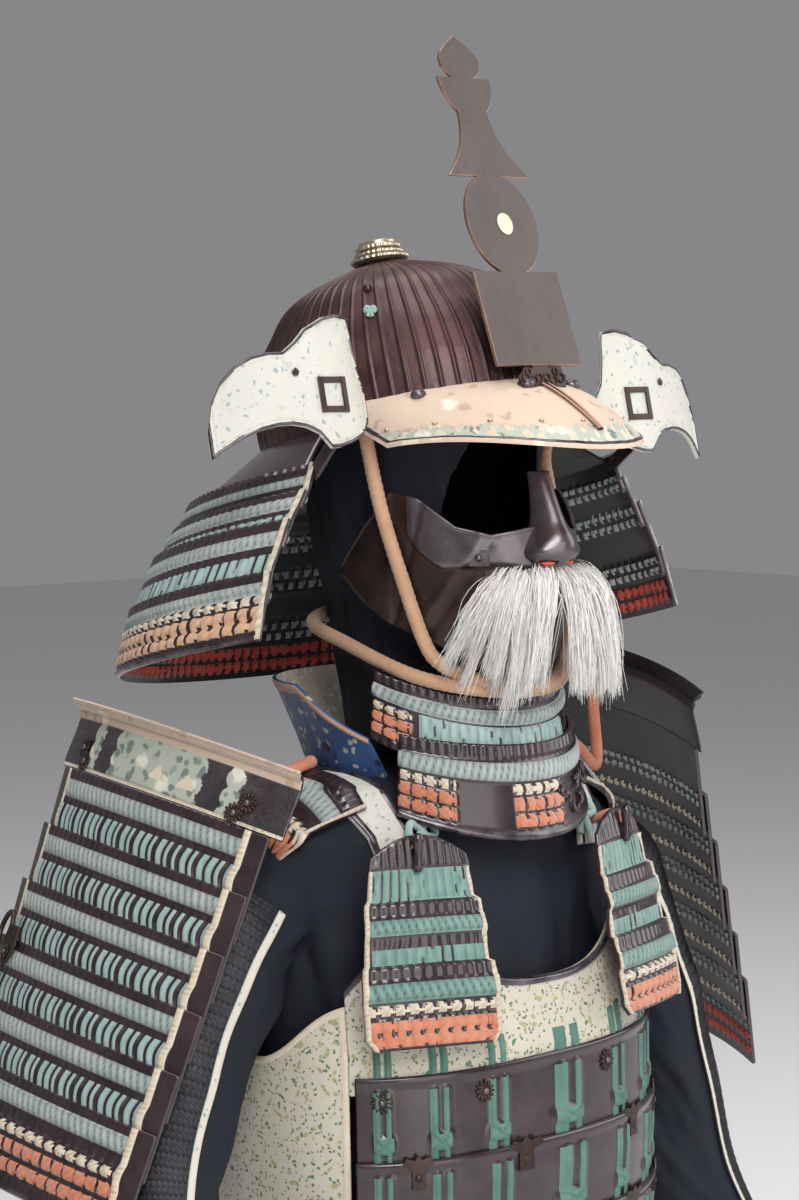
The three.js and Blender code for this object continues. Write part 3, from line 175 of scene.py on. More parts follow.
def makeWearAndShadeGroup():
    # two colours, mixed by cloudy noise, darkened by painted shade in the grooves, read from the tone attribute
    tree, source, result = makeGroup("wearAndGrooveShade", [
        ("Base", "NodeSocketColor", (1, 1, 1, 1)), ("Worn", "NodeSocketColor", (0, 0, 0, 1)),
        ("Scale", "NodeSocketFloat", 20.0), ("Amount", "NodeSocketFloat", 0.5), ("GrooveShade", "NodeSocketFloat", 0.0),
    ], [("Color", "NodeSocketColor"), ("Cloud", "NodeSocketFloat")])
    nodes, links = tree.nodes, tree.links
    coords = nodes.new("ShaderNodeTexCoord")
    cloud = nodes.new("ShaderNodeTexNoise")
    cloud.inputs["Detail"].default_value = 6
    cloud.inputs["Roughness"].default_value = 0.65
    links.new(coords.outputs["Object"], cloud.inputs["Vector"])
    links.new(source.outputs["Scale"], cloud.inputs["Scale"])
    ramp = nodes.new("ShaderNodeMapRange")
    ramp.inputs["From Min"].default_value = 0.38
    ramp.inputs["From Max"].default_value = 0.68
    links.new(cloud.outputs[0], ramp.inputs["Value"])
    amount = nodes.new("ShaderNodeMath")
    amount.operation = "MULTIPLY"
    links.new(ramp.outputs[0], amount.inputs[0])
    links.new(source.outputs["Amount"], amount.inputs[1])
    blend = nodes.new("ShaderNodeMix")
    blend.data_type = "RGBA"
    links.new(amount.outputs[0], blend.inputs["Factor"])
    links.new(source.outputs["Base"], blend.inputs["A"])
    links.new(source.outputs["Worn"], blend.inputs["B"])
    # painted shade: the tone attribute, scaled by the groove input, darkens the colour
    tone = nodes.new("ShaderNodeAttribute")
    tone.attribute_name = "tone"
    shade = nodes.new("ShaderNodeMath")
    shade.operation = "MULTIPLY"
    links.new(tone.outputs["Fac"], shade.inputs[0])
    links.new(source.outputs["GrooveShade"], shade.inputs[1])
    left = nodes.new("ShaderNodeMath")
    left.operation = "SUBTRACT"
    left.inputs[0].default_value = 1.0
    links.new(shade.outputs[0], left.inputs[1])
    dark = nodes.new("ShaderNodeMix")
    dark.data_type = "RGBA"
    dark.blend_type = "MULTIPLY"
    dark.inputs["Factor"].default_value = 1.0
    links.new(blend.outputs["Result"], dark.inputs["A"])
    links.new(left.outputs[0], dark.inputs["B"])
    links.new(dark.outputs["Result"], result.inputs["Color"])
    links.new(amount.outputs[0], result.inputs["Cloud"])
    return tree


def makeFibreGroup():
    # fine threads along the piece's own flat coordinates, as a normal
    tree, source, result = makeGroup("fibre", [
        ("Threads", "NodeSocketFloat", 60.0), ("Strength", "NodeSocketFloat", 0.3), ("Turn", "NodeSocketFloat", 0.6),
    ], [("Normal", "NodeSocketVector"), ("Thread", "NodeSocketFloat")])
    nodes, links = tree.nodes, tree.links
    flat = nodes.new("ShaderNodeUVMap")
    flat.uv_map = "flat"
    turned = nodes.new("ShaderNodeVectorRotate")
    turned.rotation_type = "Z_AXIS"
    links.new(flat.outputs[0], turned.inputs["Vector"])
    links.new(source.outputs["Turn"], turned.inputs["Angle"])
    wave = nodes.new("ShaderNodeTexWave")
    wave.inputs["Distortion"].default_value = 1.5
    wave.inputs["Detail"].default_value = 2
    links.new(turned.outputs[0], wave.inputs["Vector"])
    links.new(source.outputs["Threads"], wave.inputs["Scale"])
    relief = nodes.new("ShaderNodeBump")
    relief.inputs["Distance"].default_value = 0.0006
    links.new(source.outputs["Strength"], relief.inputs["Strength"])
    links.new(wave.outputs["Fac"], relief.inputs["Height"])
    links.new(relief.outputs[0], result.inputs["Normal"])
    links.new(wave.outputs["Fac"], result.inputs["Thread"])
    return tree


wearAndShadeGroup = makeWearAndShadeGroup()
fibreGroup = makeFibreGroup()


def finish(name, base, worn, scale=25.0, amount=0.6, groove=0.0, rough=0.5, metal=0.0, coat=0.0, sheen=0.0,
           threads=0.0, fibre=0.3, turn=0.6, dents=0.0, dentScale=120.0, ior=1.45):
    material, nodes, links, shader = newMaterial(name)
    # groove sets how strongly the painted shade in the tone attribute darkens this colour
    wearAndGrooveShade = nodes.new("ShaderNodeGroup")
    wearAndGrooveShade.node_tree = wearAndShadeGroup
    wearAndGrooveShade.inputs["Base"].default_value = (*base, 1)
    wearAndGrooveShade.inputs["Worn"].default_value = (*worn, 1)
    wearAndGrooveShade.inputs["Scale"].default_value = scale
    wearAndGrooveShade.inputs["Amount"].default_value = amount
    wearAndGrooveShade.inputs["GrooveShade"].default_value = groove
    links.new(wearAndGrooveShade.outputs["Color"], shader.inputs["Base Color"])
    shader.inputs["Metallic"].default_value = metal
    shader.inputs["Coat Weight"].default_value = coat
    shader.inputs["Coat Roughness"].default_value = 0.12
    shader.inputs["Sheen Weight"].default_value = sheen
    shader.inputs["IOR"].default_value = ior
    roughness = nodes.new("ShaderNodeMapRange")
    roughness.inputs["To Min"].default_value = rough
    roughness.inputs["To Max"].default_value = min(1.0, rough + 0.22)
    links.new(wearAndGrooveShade.outputs["Cloud"], roughness.inputs["Value"])
    links.new(roughness.outputs[0], shader.inputs["Roughness"])
    if threads:
        thread = nodes.new("ShaderNodeGroup")
        thread.node_tree = fibreGroup
        thread.inputs["Threads"].default_value = threads
        thread.inputs["Strength"].default_value = fibre
        thread.inputs["Turn"].default_value = turn
        links.new(thread.outputs["Normal"], shader.inputs["Normal"])
    elif dents:
        coords = nodes.new("ShaderNodeTexCoord")
        noise = nodes.new("ShaderNodeTexNoise")
        noise.inputs["Scale"].default_value = dentScale
        noise.inputs["Detail"].default_value = 5
        relief = nodes.new("ShaderNodeBump")
        relief.inputs["Strength"].default_value = dents
        relief.inputs["Distance"].default_value = 0.001
        links.new(coords.outputs["Object"], noise.inputs["Vector"])
        links.new(noise.outputs[0], relief.inputs["Height"])
        links.new(relief.outputs[0], shader.inputs["Normal"])
    return material


def spotFinish(name, base, spot, scale, size, second=None, rough=0.7, groove=0.4, dents=0.2):
    # pale leather with printed spots
    material = finish(name, base, tuple(c * 0.8 for c in base), 9, 0.5, groove, rough, dents=dents, dentScale=200)
    nodes, links = material.node_tree.nodes, material.node_tree.links
    shader = next(n for n in nodes if n.type == "BSDF_PRINCIPLED")
    current = shader.inputs["Base Color"].links[0].from_socket
    coords = nodes.new("ShaderNodeTexCoord")
    cloud = nodes.new("ShaderNodeTexNoise")
    cloud.inputs["Scale"].default_value = 90
    links.new(coords.outputs["Object"], cloud.inputs["Vector"])
    bent = nodes.new("ShaderNodeMix")
    bent.data_type = "VECTOR"
    bent.inputs["Factor"].default_value = 0.012
    links.new(coords.outputs["Object"], bent.inputs["A"])
    links.new(cloud.outputs["Color"], bent.inputs["B"])
    for colour, gridScale, reach in ((spot, scale, size), (second or spot, scale * 0.45, size * 0.8)):
        cells = nodes.new("ShaderNodeTexVoronoi")
        cells.inputs["Scale"].default_value = gridScale
        cells.inputs["Randomness"].default_value = 0.85
        ramp = nodes.new("ShaderNodeMapRange")
        ramp.inputs["From Min"].default_value = reach
        ramp.inputs["From Max"].default_value = reach * 0.7
        blend = nodes.new("ShaderNodeMix")
        blend.data_type = "RGBA"
        blend.inputs["B"].default_value = (*colour, 1)
        links.new(bent.outputs["Result"], cells.inputs["Vector"])
        links.new(cells.outputs["Distance"], ramp.inputs["Value"])
        links.new(ramp.outputs[0], blend.inputs["Factor"])
        links.new(current, blend.inputs["A"])
        current = blend.outputs["Result"]
    links.new(current, shader.inputs["Base Color"])
    return material


looks = {
    "lacquer": finish("lacquer", (0.020, 0.012, 0.014), (0.060, 0.034, 0.040), 30, 0.6, 0.25, 0.22, coat=0.45),
    "lacquerIn": finish("lacquerIn", (0.006, 0.005, 0.006), (0.02, 0.014, 0.014), 30, 0.5, 0.2, 0.4, coat=0.2),
    "teal": finish("teal", (0.40, 0.49, 0.47), (0.58, 0.64, 0.61), 60, 0.8, 0.9, 0.66, sheen=0.2, threads=90,
                   fibre=0.55),
    "tealDeep": finish("tealDeep", (0.31, 0.47, 0.45), (0.48, 0.61, 0.60), 60, 0.7, 0.9, 0.64, sheen=0.2, threads=90,
                       fibre=0.5, turn=0.05),
    "green": finish("green", (0.085, 0.20, 0.16), (0.17, 0.30, 0.25), 60, 0.6, 0.85, 0.64, threads=90, fibre=0.5),
    "cream": finish("cream", (0.74, 0.62, 0.46), (0.86, 0.78, 0.66), 80, 0.6, 0.75, 0.65, sheen=0.2, threads=80,
                    fibre=0.5),
    "orange": finish("orange", (0.66, 0.20, 0.10), (0.76, 0.36, 0.22), 50, 0.6, 0.72, 0.6, sheen=0.3, threads=70,
                     fibre=0.55),
    "peach": finish("peach", (0.74, 0.40, 0.21), (0.82, 0.55, 0.36), 50, 0.6, 0.72, 0.6, sheen=0.3, threads=70,
                    fibre=0.55),
    "red": finish("red", (0.60, 0.07, 0.05), (0.78, 0.16, 0.10), 50, 0.5, 0.7, 0.6, threads=70),
    "russet": finish("russet", (0.058, 0.027, 0.029), (0.135, 0.064, 0.062), 22, 0.8, 0.6, 0.42, metal=0.55, coat=0.1,
                     dents=0.25, dentScale=300),
    "iron": finish("iron", (0.12, 0.105, 0.115), (0.20, 0.175, 0.18), 26, 0.7, 0.3, 0.3, metal=0.85, dents=0.3,
                   dentScale=90),
    "ironDark": finish("ironDark", (0.045, 0.032, 0.03), (0.10, 0.06, 0.05), 30, 0.7, 0.4, 0.35, metal=0.8, dents=0.3,
                       dentScale=160),
    "bronze": finish("bronze", (0.075, 0.062, 0.058), (0.15, 0.12, 0.11), 20, 0.7, 0.0, 0.36, metal=0.8, dents=0.25,
                     dentScale=120),
    "copper": finish("copper", (0.36, 0.22, 0.17), (0.5, 0.32, 0.24), 40, 0.5, 0.0, 0.3, metal=0.9),
    "gilt": finish("gilt", (0.46, 0.38, 0.27), (0.66, 0.62, 0.54), 60, 0.7, 0.5, 0.3, metal=0.9, dents=0.2),
    "navy": finish("navy", (0.0045, 0.0065, 0.0135), (0.009, 0.0125, 0.024), 14, 0.6, 0.0, 0.8, sheen=0.0, threads=260,
                   fibre=0.12),
    "white": finish("white", (0.80, 0.79, 0.77), (0.66, 0.65, 0.64), 30, 0.5, 0.3, 0.5, sheen=0.2),
    "tan": finish("tan", (0.42, 0.24, 0.14), (0.56, 0.36, 0.23), 40, 0.7, 0.4, 0.75, sheen=0.3, dents=0.3,
                  dentScale=500),
    "rim": finish("rim", (0.03, 0.022, 0.026), (0.28, 0.25, 0.27), 60, 0.5, 0.2, 0.25, metal=0.6, coat=0.3),
}
looks["sea"] = finish("sea", (0.17, 0.33, 0.29), (0.30, 0.46, 0.42), 60, 0.7, 0.9, 0.64, sheen=0.2, threads=90,
                      fibre=0.5)
looks["leather"] = spotFinish("leather", (0.60, 0.59, 0.53), (0.26, 0.35, 0.34), 150, 0.24, (0.46, 0.47, 0.42))
looks["dotted"] = spotFinish("dotted", (0.55, 0.51, 0.42), (0.09, 0.17, 0.10), 240, 0.34, (0.34, 0.32, 0.16))
looks["printed"] = spotFinish("printed", (0.42, 0.45, 0.38), (0.15, 0.19, 0.17), 90, 0.42, (0.62, 0.62, 0.52))
print("finishes made")


# Grids laid on the pieces' own surfaces
def gridPiece(name, columns, rows, place, uSpan, vSpan, relief=None, names=("lacquer",), wall=0.0, keep=None,
              size=(100.0, 100.0), inLook=None, around=False, smooth=True, soften=0):
    bm = bmesh.new()
    bmesh.ops.create_grid(bm, x_segments=columns, y_segments=rows, size=0.5)
    layers = {key: bm.verts.layers.float.new(key) for key in ("s", "t", "deep")}
    xs = [v.co.x for v in bm.verts]
    ys = [v.co.y for v in bm.verts]
    lowX, wide, lowY, tall = min(xs), max(xs) - min(xs), min(ys), max(ys) - min(ys)
    for v in bm.verts:
        v[layers["s"]] = (v.co.x - lowX) / wide
        v[layers["t"]] = (v.co.y - lowY) / tall
    if wall and keep is None:
        edges = [e for e in bm.edges if e.is_boundary]
        if around:
            edges = [e for e in edges if abs(e.verts[0][layers["t"]] - e.verts[1][layers["t"]]) < 1e-6]
        grown = bmesh.ops.extrude_edge_only(bm, edges=edges)
        for v in (g for g in grown["geom"] if isinstance(g, bmesh.types.BMVert)):
            v[layers["deep"]] = 1.0
    mesh = bpy.data.meshes.new(name)
    bm.to_mesh(mesh)
    bm.free()
    count = len(mesh.vertices)
    read = {key: np.empty(count, "f4") for key in layers}
    for key, values in read.items():
        mesh.attributes[key].data.foreach_get("value", values)
    s, t, deep = (read[key].astype(float) for key in ("s", "t", "deep"))
    u, v = mix(uSpan[0], uSpan[1], s), mix(vSpan[0], vSpan[1], t)
    length, height = size

    def shape(s, t):
        if relief is None:
            return np.zeros_like(s), np.zeros(len(s), int), np.zeros_like(s)
        return relief(s * length, t * height)

    lift, _, tone = shape(s, t)
    points = place(u, v, np.where(deep > 0.5, -wall, lift)) * 0.001
    mesh.vertices.foreach_set("co", points.astype("f4").ravel())
    loops = np.empty(len(mesh.loops), "i4")
    mesh.loops.foreach_get("vertex_index", loops)
    flat = mesh.uv_layers.new(name="flat")
    both = np.stack([s * length * 0.01, t * height * 0.01], axis=-1)
    flat.data.foreach_set("uv", both[loops].astype("f4").ravel())
    # tone: mostly painted shade in grooves, also a few dark marks such as stitches, multiplied into the colour
    mesh.attributes.new("tone", "FLOAT", "POINT").data.foreach_set("value", tone.astype("f4"))
    for look in names:
        mesh.materials.append(looks[look])
    quads = loops.reshape(-1, 4)
    middleS, middleT = s[quads].mean(axis=1), t[quads].mean(axis=1)
    _, part, _ = shape(middleS, middleT)
    edge = deep[quads].max(axis=1) > 0.5
    part = np.where(edge, 0, part)
    mesh.polygons.foreach_set("material_index", part.astype("i4"))
    mesh.polygons.foreach_set("use_smooth", np.full(len(quads), smooth))
    mesh.update()
    # faces look outward
    corner = points[quads]
    normals = np.cross(corner[:, 1] - corner[:, 0], corner[:, 2] - corner[:, 0])
    outer = place(mix(uSpan[0], uSpan[1], middleS), mix(vSpan[0], vSpan[1], middleT), np.full(len(middleS), 1.0))
    inner = place(mix(uSpan[0], uSpan[1], middleS), mix(vSpan[0], vSpan[1], middleT), np.zeros(len(middleS)))
    front = ~edge
    flipped = np.sum(normals[front] * (outer - inner)[front]) < 0
    bm = bmesh.new()
    bm.from_mesh(mesh)
    if keep is not None:
        bm.faces.ensure_lookup_table()
        gone = [bm.faces[i] for i in np.nonzero(~keep(middleS, middleT))[0]]
        bmesh.ops.delete(bm, geom=gone, context="FACES")
        for _ in range(soften):
            bmesh.ops.smooth_vert(bm, verts=[v for v in bm.verts if v.is_boundary], factor=0.5, use_axis_x=True,
                                  use_axis_y=True, use_axis_z=True)
    if flipped:
        bmesh.ops.reverse_faces(bm, faces=bm.faces[:])
    if around:
        bmesh.ops.remove_doubles(bm, verts=bm.verts[:], dist=1e-6)
    if wall and keep is not None:
        # the cut edges turn inward by the wall
        where = [bm.verts.layers.float[key] for key in ("s", "t")]
        grown = bmesh.ops.extrude_edge_only(bm, edges=[e for e in bm.edges if e.is_boundary])
        fresh = [g for g in grown["geom"] if isinstance(g, bmesh.types.BMVert)]
        u, v = (mix(*span, np.array([g[layer] for g in fresh])) for span, layer in zip((uSpan, vSpan), where))
        inward = (place(u, v, np.full(len(fresh), -wall)) - place(u, v, np.zeros(len(fresh)))) * 0.001
        for vert, move in zip(fresh, inward):
            vert.co += Vector(move)
    bm.to_mesh(mesh)
    bm.free()
    for key in layers:
        mesh.attributes.remove(mesh.attributes[key])
    piece = bpy.data.objects.new(name, mesh)
    bpy.context.scene.collection.objects.link(piece)
    if wall and keep is None and inLook:
        thin = inLook.get("thin", 3)
        gridPiece(name + "_in", max(4, columns // thin), max(3, rows // min(thin, 2)),
                  lambda a, b, out: place(a, b, -wall - out), uSpan, vSpan, inLook.get("relief"),
                  inLook["names"], 0.0, None, size, around=around).parent = piece
    return piece


def belongs(piece, body, slotName, *nodes):
    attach(piece, body)
    if nodes:
        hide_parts(*nodes)
    return piece


# Silk lacing: braids, cords and knots as low relief over ribbed plates, with painted shade in their grooves
laceNames = ("lacquer", "teal", "tealDeep", "cream", "orange", "rim", "peach")


def laceRelief(bands, rib=8.0, lace=6.4, knot=10.8, length=200.0, seed=0.0, ends=4.0, laceGap=0.44, orange=4,
               sparse=0.0):
    def relief(x, y):
        straight = x
        x = x + 0.5 * wobble(x, y, seed, 1.5)
        lift, part, tone = np.zeros_like(x), np.zeros(len(x), int), np.zeros_like(x)
        # the third value is painted shade: darker in the valleys between ribs, the troughs of the braid, the edges and
        # split of each cord, the grooves of knots and crosses, and the sides of the rim
        for kind, start, stop in bands:
            inside = (y >= start) & (y < stop)
            h = (y - start) / (stop - start)
            level = 2 * h - 1
            arch = np.sqrt(np.clip(1 - level ** 2, 0, 1))
            on = inside
            if kind == "ribs":
                p = np.sin(np.pi * frac(x / rib) ** 0.75)
                rise, look, dark = 0.2 + 1.5 * p, 0, 0.9 * (1 - p) ** 2
            elif kind == "braid":
                p = np.sin(np.pi * frac(x / lace + 0.75 * h + 0.06 * wobble(x, y, seed + 3))) ** 0.7
                rise, look, dark = 0.6 + 2.4 * arch * (0.5 + 0.5 * p), 1, 1 - p * arch ** 0.5
            elif kind == "lacing":
                f = frac(x / rib + 0.10 * wobble(x, y, seed + 5)) - 0.5
                wide = laceGap * (1 - sparse * (0.5 + 0.5 * wobble(x * 3, 0 * y, seed + 2)))
                p = np.sqrt(np.clip(1 - (f / wide) ** 2, 0, 1))
                split = bump(f, 0.07)
                on = inside & (np.abs(f) < wide)
                rise, look, dark = 0.5 + 1.4 * p - 0.5 * split, 2, np.clip(0.7 * (1 - p) + 0.6 * split, 0, 1)
            elif kind == "strands":
                # three or four grid cells of silk in every five, the rest dark
                f = frac(straight / rib + 1e-4)
                loose = np.sin(np.floor(straight / rib + 1e-4) * 2.4 + seed) > 0.2
                on = inside & (f < 0.79) & ((f > 0.19) | ~loose)
                p = np.sqrt(np.clip(1 - ((f - 0.4) / 0.46) ** 2, 0, 1))
                rise, look, dark = 0.4 + 1.9 * p, 2, 0.75 * (1 - p)
            elif kind == "knots":
                fx, fy = frac(x / knot) - 0.5, h - 0.5
                r = (fx / 0.42) ** 2 + (fy / 0.48) ** 2
                on = inside & (r < 1)
                rise = 0.8 + 2.4 * np.sqrt(np.clip(1 - r, 0, 1))
                cross = bump(np.abs(fx) - np.abs(fy) * 0.8, 0.05)
                look, dark = 3, 0.75 * cross + 0.25 * r
            elif kind == "crosses":
                fx, fy = frac(x / knot) - 0.5, h - 0.5
                r = (np.abs(fx) / 0.45) ** 3.4 + (np.abs(fy) / 0.48) ** 3.4
                on = inside & (r < 1)
                groove = bump(np.abs(fx) * knot - np.abs(fy) * (stop - start), 1.0)
                rise = 0.7 + 2.5 * np.clip(1 - r, 0, 1) ** 0.4 * (1 - 0.3 * groove)
                look, dark = orange, 0.4 * groove + 0.35 * r
            elif kind == "rim":
                rise, look, dark = 0.4 + 1.8 * arch, 5, 0.2 * (1 - arch)
            else:
                rise, look, dark = 0.0, 0, 0.15
            lift = np.where(on, rise, lift)
            part = np.where(on, look, part)
            tone = np.where(on, dark, tone)
        if ends:
            # pale cords along both ends, with painted shade in their twist
            side = np.minimum(x, length - x)
            edge = side < ends
            p = np.sqrt(np.clip(1 - ((side - ends / 2) / (ends / 2)) ** 2, 0, 1))
            twist = np.sin(np.pi * frac(y / 3.2 + side * 0.12))
            lift = np.where(edge, 1.0 + 2.0 * p, lift)
            part = np.where(edge, 3, part)
            tone = np.where(edge, 0.6 * (1 - twist * p), tone)
        return lift, part, np.clip(tone, 0, 1)
    return relief


def insideRelief(rows, length, knot=9.0):
    # the back of the lacing: rows of small silk dots on black lacquer, each with painted shade towards its edge
    def relief(x, y):
        lift, part, tone = np.zeros_like(x), np.zeros(len(x), int), np.zeros_like(x)
        for kind, middle in rows:
            wide, tall, look = {"dots": (0.36, 2.4, 1), "pale": (0.38, 2.6, 2), "knots": (0.45, 4.8, 3)}[kind]
            fx = frac(x / knot + (0.5 if kind == "dots" and int(middle) % 2 else 0)) - 0.5
            r = (fx / wide) ** 2 + ((y - middle) / tall) ** 2
            on = r < 1
            lift = np.where(on, 0.3 + 1.3 * np.sqrt(np.clip(1 - r, 0, 1)), lift)
            part = np.where(on, look, part)
            tone = np.where(on, 0.5 * r, tone)
        return lift, part, tone
    return relief


insideNames = ("lacquerIn", "teal", "cream", "red")
cell = 1.9


def gridCounts(length, height, coarse=1.0):
    return max(6, int(length / (cell * coarse))), max(4, int(height / (cell * coarse)))


# Helmet frame
helmetSeat = {"pitch": -13.0, "back": 12.0, "up": 250.0}


def inHelmet(points):
    turn = rad(helmetSeat["pitch"])
    x, y, z = points[..., 0], points[..., 1], points[..., 2]
    return np.stack([x, y * np.cos(turn) - z * np.sin(turn) + helmetSeat["back"],
                     y * np.sin(turn) + z * np.cos(turn) + helmetSeat["up"]], axis=-1)


# Bowl
bowl = {"half": 108.0, "long": 130.0, "height": 136.0, "ridges": 60, "ridgeHeight": 1.5, "rows": [
    {"up": 0, "share": 1.0}, {"up": 48, "share": 0.97}, {"up": 88, "share": 0.81}, {"up": 119, "share": 0.53},
    {"up": 136, "share": 0.12}]}


def bowlPoint(turn, up, out=0.0):
    share = smoothLookup(bowl["rows"], "up", up, "share")
    half, long = bowl["half"] * share + out, bowl["long"] * share + out
    return at(half * np.sin(turn), long * np.cos(turn) - 8 * up / bowl["height"], up + np.asarray(out) * 0.3)


def bowlRelief(x, y):
    turn = x / (2 * np.pi * bowl["half"]) * bowl["ridges"]
    away = (np.abs(frac(turn + 0.5) - 0.5)) * (2 * np.pi * bowl["half"] / bowl["ridges"])
    ridge = bump(away, 0.85) * np.clip(y / 14, 0, 1)
    rivets = (bump(y - 11, 1.6) + bump(y - 62, 1.6) * (frac(turn / 3) < 0.34)) * bump(away - 5.6, 1.6)
    # the tone is painted shade: a dark line at the foot of each ridge
    return bowl["ridgeHeight"] * ridge + rivets, np.zeros(len(x), int), np.clip(0.9 * bump(away - 1.9, 0.8), 0, 1)


def makeHelmet():
    columns = bowl["ridges"] * 12
    shell = gridPiece("bowl_plates", columns, 36, lambda u, v, out: inHelmet(bowlPoint(u, v, out)),
                      (0, 2 * np.pi), (0.0, 135.5), bowlRelief, ("russet",), 2.4, None,
                      (2 * np.pi * bowl["half"], bowl["height"]), {"names": ("lacquerIn",)}, around=True)
    belongs(shell, "armour", "russet_iron", "bowl")
    rims = [(0.4, 19), (2.4, 22), (4.4, 22), (5.6, 16), (6.6, 18.6), (8.6, 18.6), (9.6, 14.2), (11, 17), (13.4, 17),
            (14.6, 15), (16.8, 15), (17.4, 12.5), (14, 8), (13.5, 0.1)]
    heights, reaches = [r[0] for r in rims], [r[1] for r in rims]
    steps = np.linspace(0, 1, len(rims))

    def fittingPlace(turn, share, out):
        up, reach = np.interp(share, steps, heights), np.interp(share, steps, reaches)
        petal = 1 + 0.05 * np.abs(np.sin(turn * 14)) * (reach > 16.5)
        reach = reach * petal + out
        return inHelmet(at(reach * np.sin(turn), reach * np.cos(turn) - 8, bowl["height"] + up))
    top = gridPiece("crown_fitting", 168, 52, fittingPlace, (0, 2 * np.pi), (0, 1), None, ("gilt",), around=True)
    belongs(top, "armour", "gilt", "top_fitting")


makeHelmet()


# Small round heads and lumps, set on a point of a surface
def studs(name, look, places, slotName, squashed=0.55, segments=14):
    bm = bmesh.new()
    for point, normal, radius in places:
        made = bmesh.ops.create_uvsphere(bm, u_segments=segments, v_segments=8, radius=radius * 0.001)
        turn = Vector(normal).to_track_quat("Z", "Y").to_matrix().to_4x4()
        bmesh.ops.scale(bm, vec=(1, 1, squashed), verts=made["verts"])
        bmesh.ops.transform(bm, matrix=turn, verts=made["verts"])
        bmesh.ops.translate(bm, vec=Vector(point) * 0.001, verts=made["verts"])
    for face in bm.faces:
        face.smooth = True
    mesh = bpy.data.meshes.new(name)
    bm.to_mesh(mesh)
    bm.free()
    mesh.materials.append(looks[look])
    piece = bpy.data.objects.new(name, mesh)
    bpy.context.scene.collection.objects.link(piece)
    return belongs(piece, "armour", slotName)


def onPlace(place, u, v, out=0.5):
    u, v = np.array([float(u)]), np.array([float(v)])
    low, high = place(u, v, np.array([out]))[0], place(u, v, np.array([out + 1.0]))[0]
    return low, high - low


# Tubes along a line of points
def smoothLine(points, count, closed=False):
    pts = np.array(points, float)
    if closed:
        pts = np.vstack([pts[-1], pts, pts[0], pts[1]])
    else:
        pts = np.vstack([2 * pts[0] - pts[1], pts, 2 * pts[-1] - pts[-2]])
    spans = len(pts) - 3
    where = np.linspace(0, spans, count)
    i = np.clip(where.astype(int), 0, spans - 1)
    t = (where - i)[:, None]
    a, b, c, d = pts[i], pts[i + 1], pts[i + 2], pts[i + 3]
    return 0.5 * (2 * b + (c - a) * t + (2 * a - 5 * b + 4 * c - d) * t ** 2 + (3 * b - a - 3 * c + d) * t ** 3)


def tubePiece(name, line, radius, look, sides=12, twist=0.0, bumps=0.0, flat=1.0, up=(0, 0, 1), taper=None):
    line = np.array(line, float)
    ahead = np.gradient(line, axis=0)
    ahead /= np.linalg.norm(ahead, axis=1, keepdims=True)
    side = np.cross(ahead, np.array(up, float))
    side /= np.maximum(np.linalg.norm(side, axis=1, keepdims=True), 1e-6)
    over = np.cross(side, ahead)
    steps = np.concatenate([[0], np.cumsum(np.linalg.norm(np.diff(line, axis=0), axis=1))])
    count = len(line)
    thick = np.ones(count) * radius if taper is None else radius * np.interp(np.linspace(0, 1, count), *taper)

    def place(turn, where, out):
        k = where * (count - 1)
        i = np.clip(k.astype(int), 0, count - 2)
        t = (k - i)[..., None]
        centre = line[i] * (1 - t) + line[i + 1] * t
        s = side[i] * (1 - t) + side[i + 1] * t
        o = over[i] * (1 - t) + over[i + 1] * t
        along = np.interp(k, np.arange(count), steps)
        reach = np.interp(k, np.arange(count), thick) * (1 + bumps * np.abs(np.sin(turn + along * twist))) + out
        return centre + s * (reach * np.cos(turn))[..., None] + o * (reach * flat * np.sin(turn))[..., None]
    piece = gridPiece(name, sides, count - 1, place, (0, 2 * np.pi), (0, 1), None, (look,), 0.0, None,
                      (2 * np.pi * radius, float(steps[-1])), around=True)
    return piece


# Visor
visor = {"reach": 80.0, "wall": 2.4, "rootUp": 14.0, "gap": 2.15}


def visorLocal(turn, share, out):
    root = bowlPoint(turn, np.full(np.shape(turn), visor["rootUp"]), visor["gap"])
    cos = np.clip(np.cos(turn), 0, 1)
    rim = at(106 * np.sin(turn), 47 + 158 * cos ** 0.92, -21 - 30 * cos ** 2)
    point = root + (rim - root) * np.asarray(share)[..., None]
    point[..., 2] += 7 * np.sin(np.pi * np.asarray(share)) * np.cos(turn) + out
    return point


def visorRelief(x, y):
    share = y / 90.0
    rim = (share > 0.955) | (x < 5) | (x > 355)
    torn = 0.80 + 0.035 * wobble(x, y, 2.0, 2.2) + 0.03 * wobble(x, y, 7.0, 5)
    band = (share > torn) & ~rim
    lift = np.where(rim, 1.2, np.where(band, 0.0, 0.6)) + 0.25 * wobble(x, y, 4, 2)
    patch = band & (wobble(x, y, 9, 2.6) > 0.25)
    part = np.where(rim, 1, np.where(patch, 3, np.where(band, 2, 0)))
    return lift, part, np.where(band, 0.1, 0.12 + 0.5 * bump(share - torn, 0.012))


looks["visorLeather"] = spotFinish("visorLeather", (0.62, 0.48, 0.38), (0.44, 0.32, 0.24), 60, 0.28,
                                   (0.70, 0.60, 0.50))


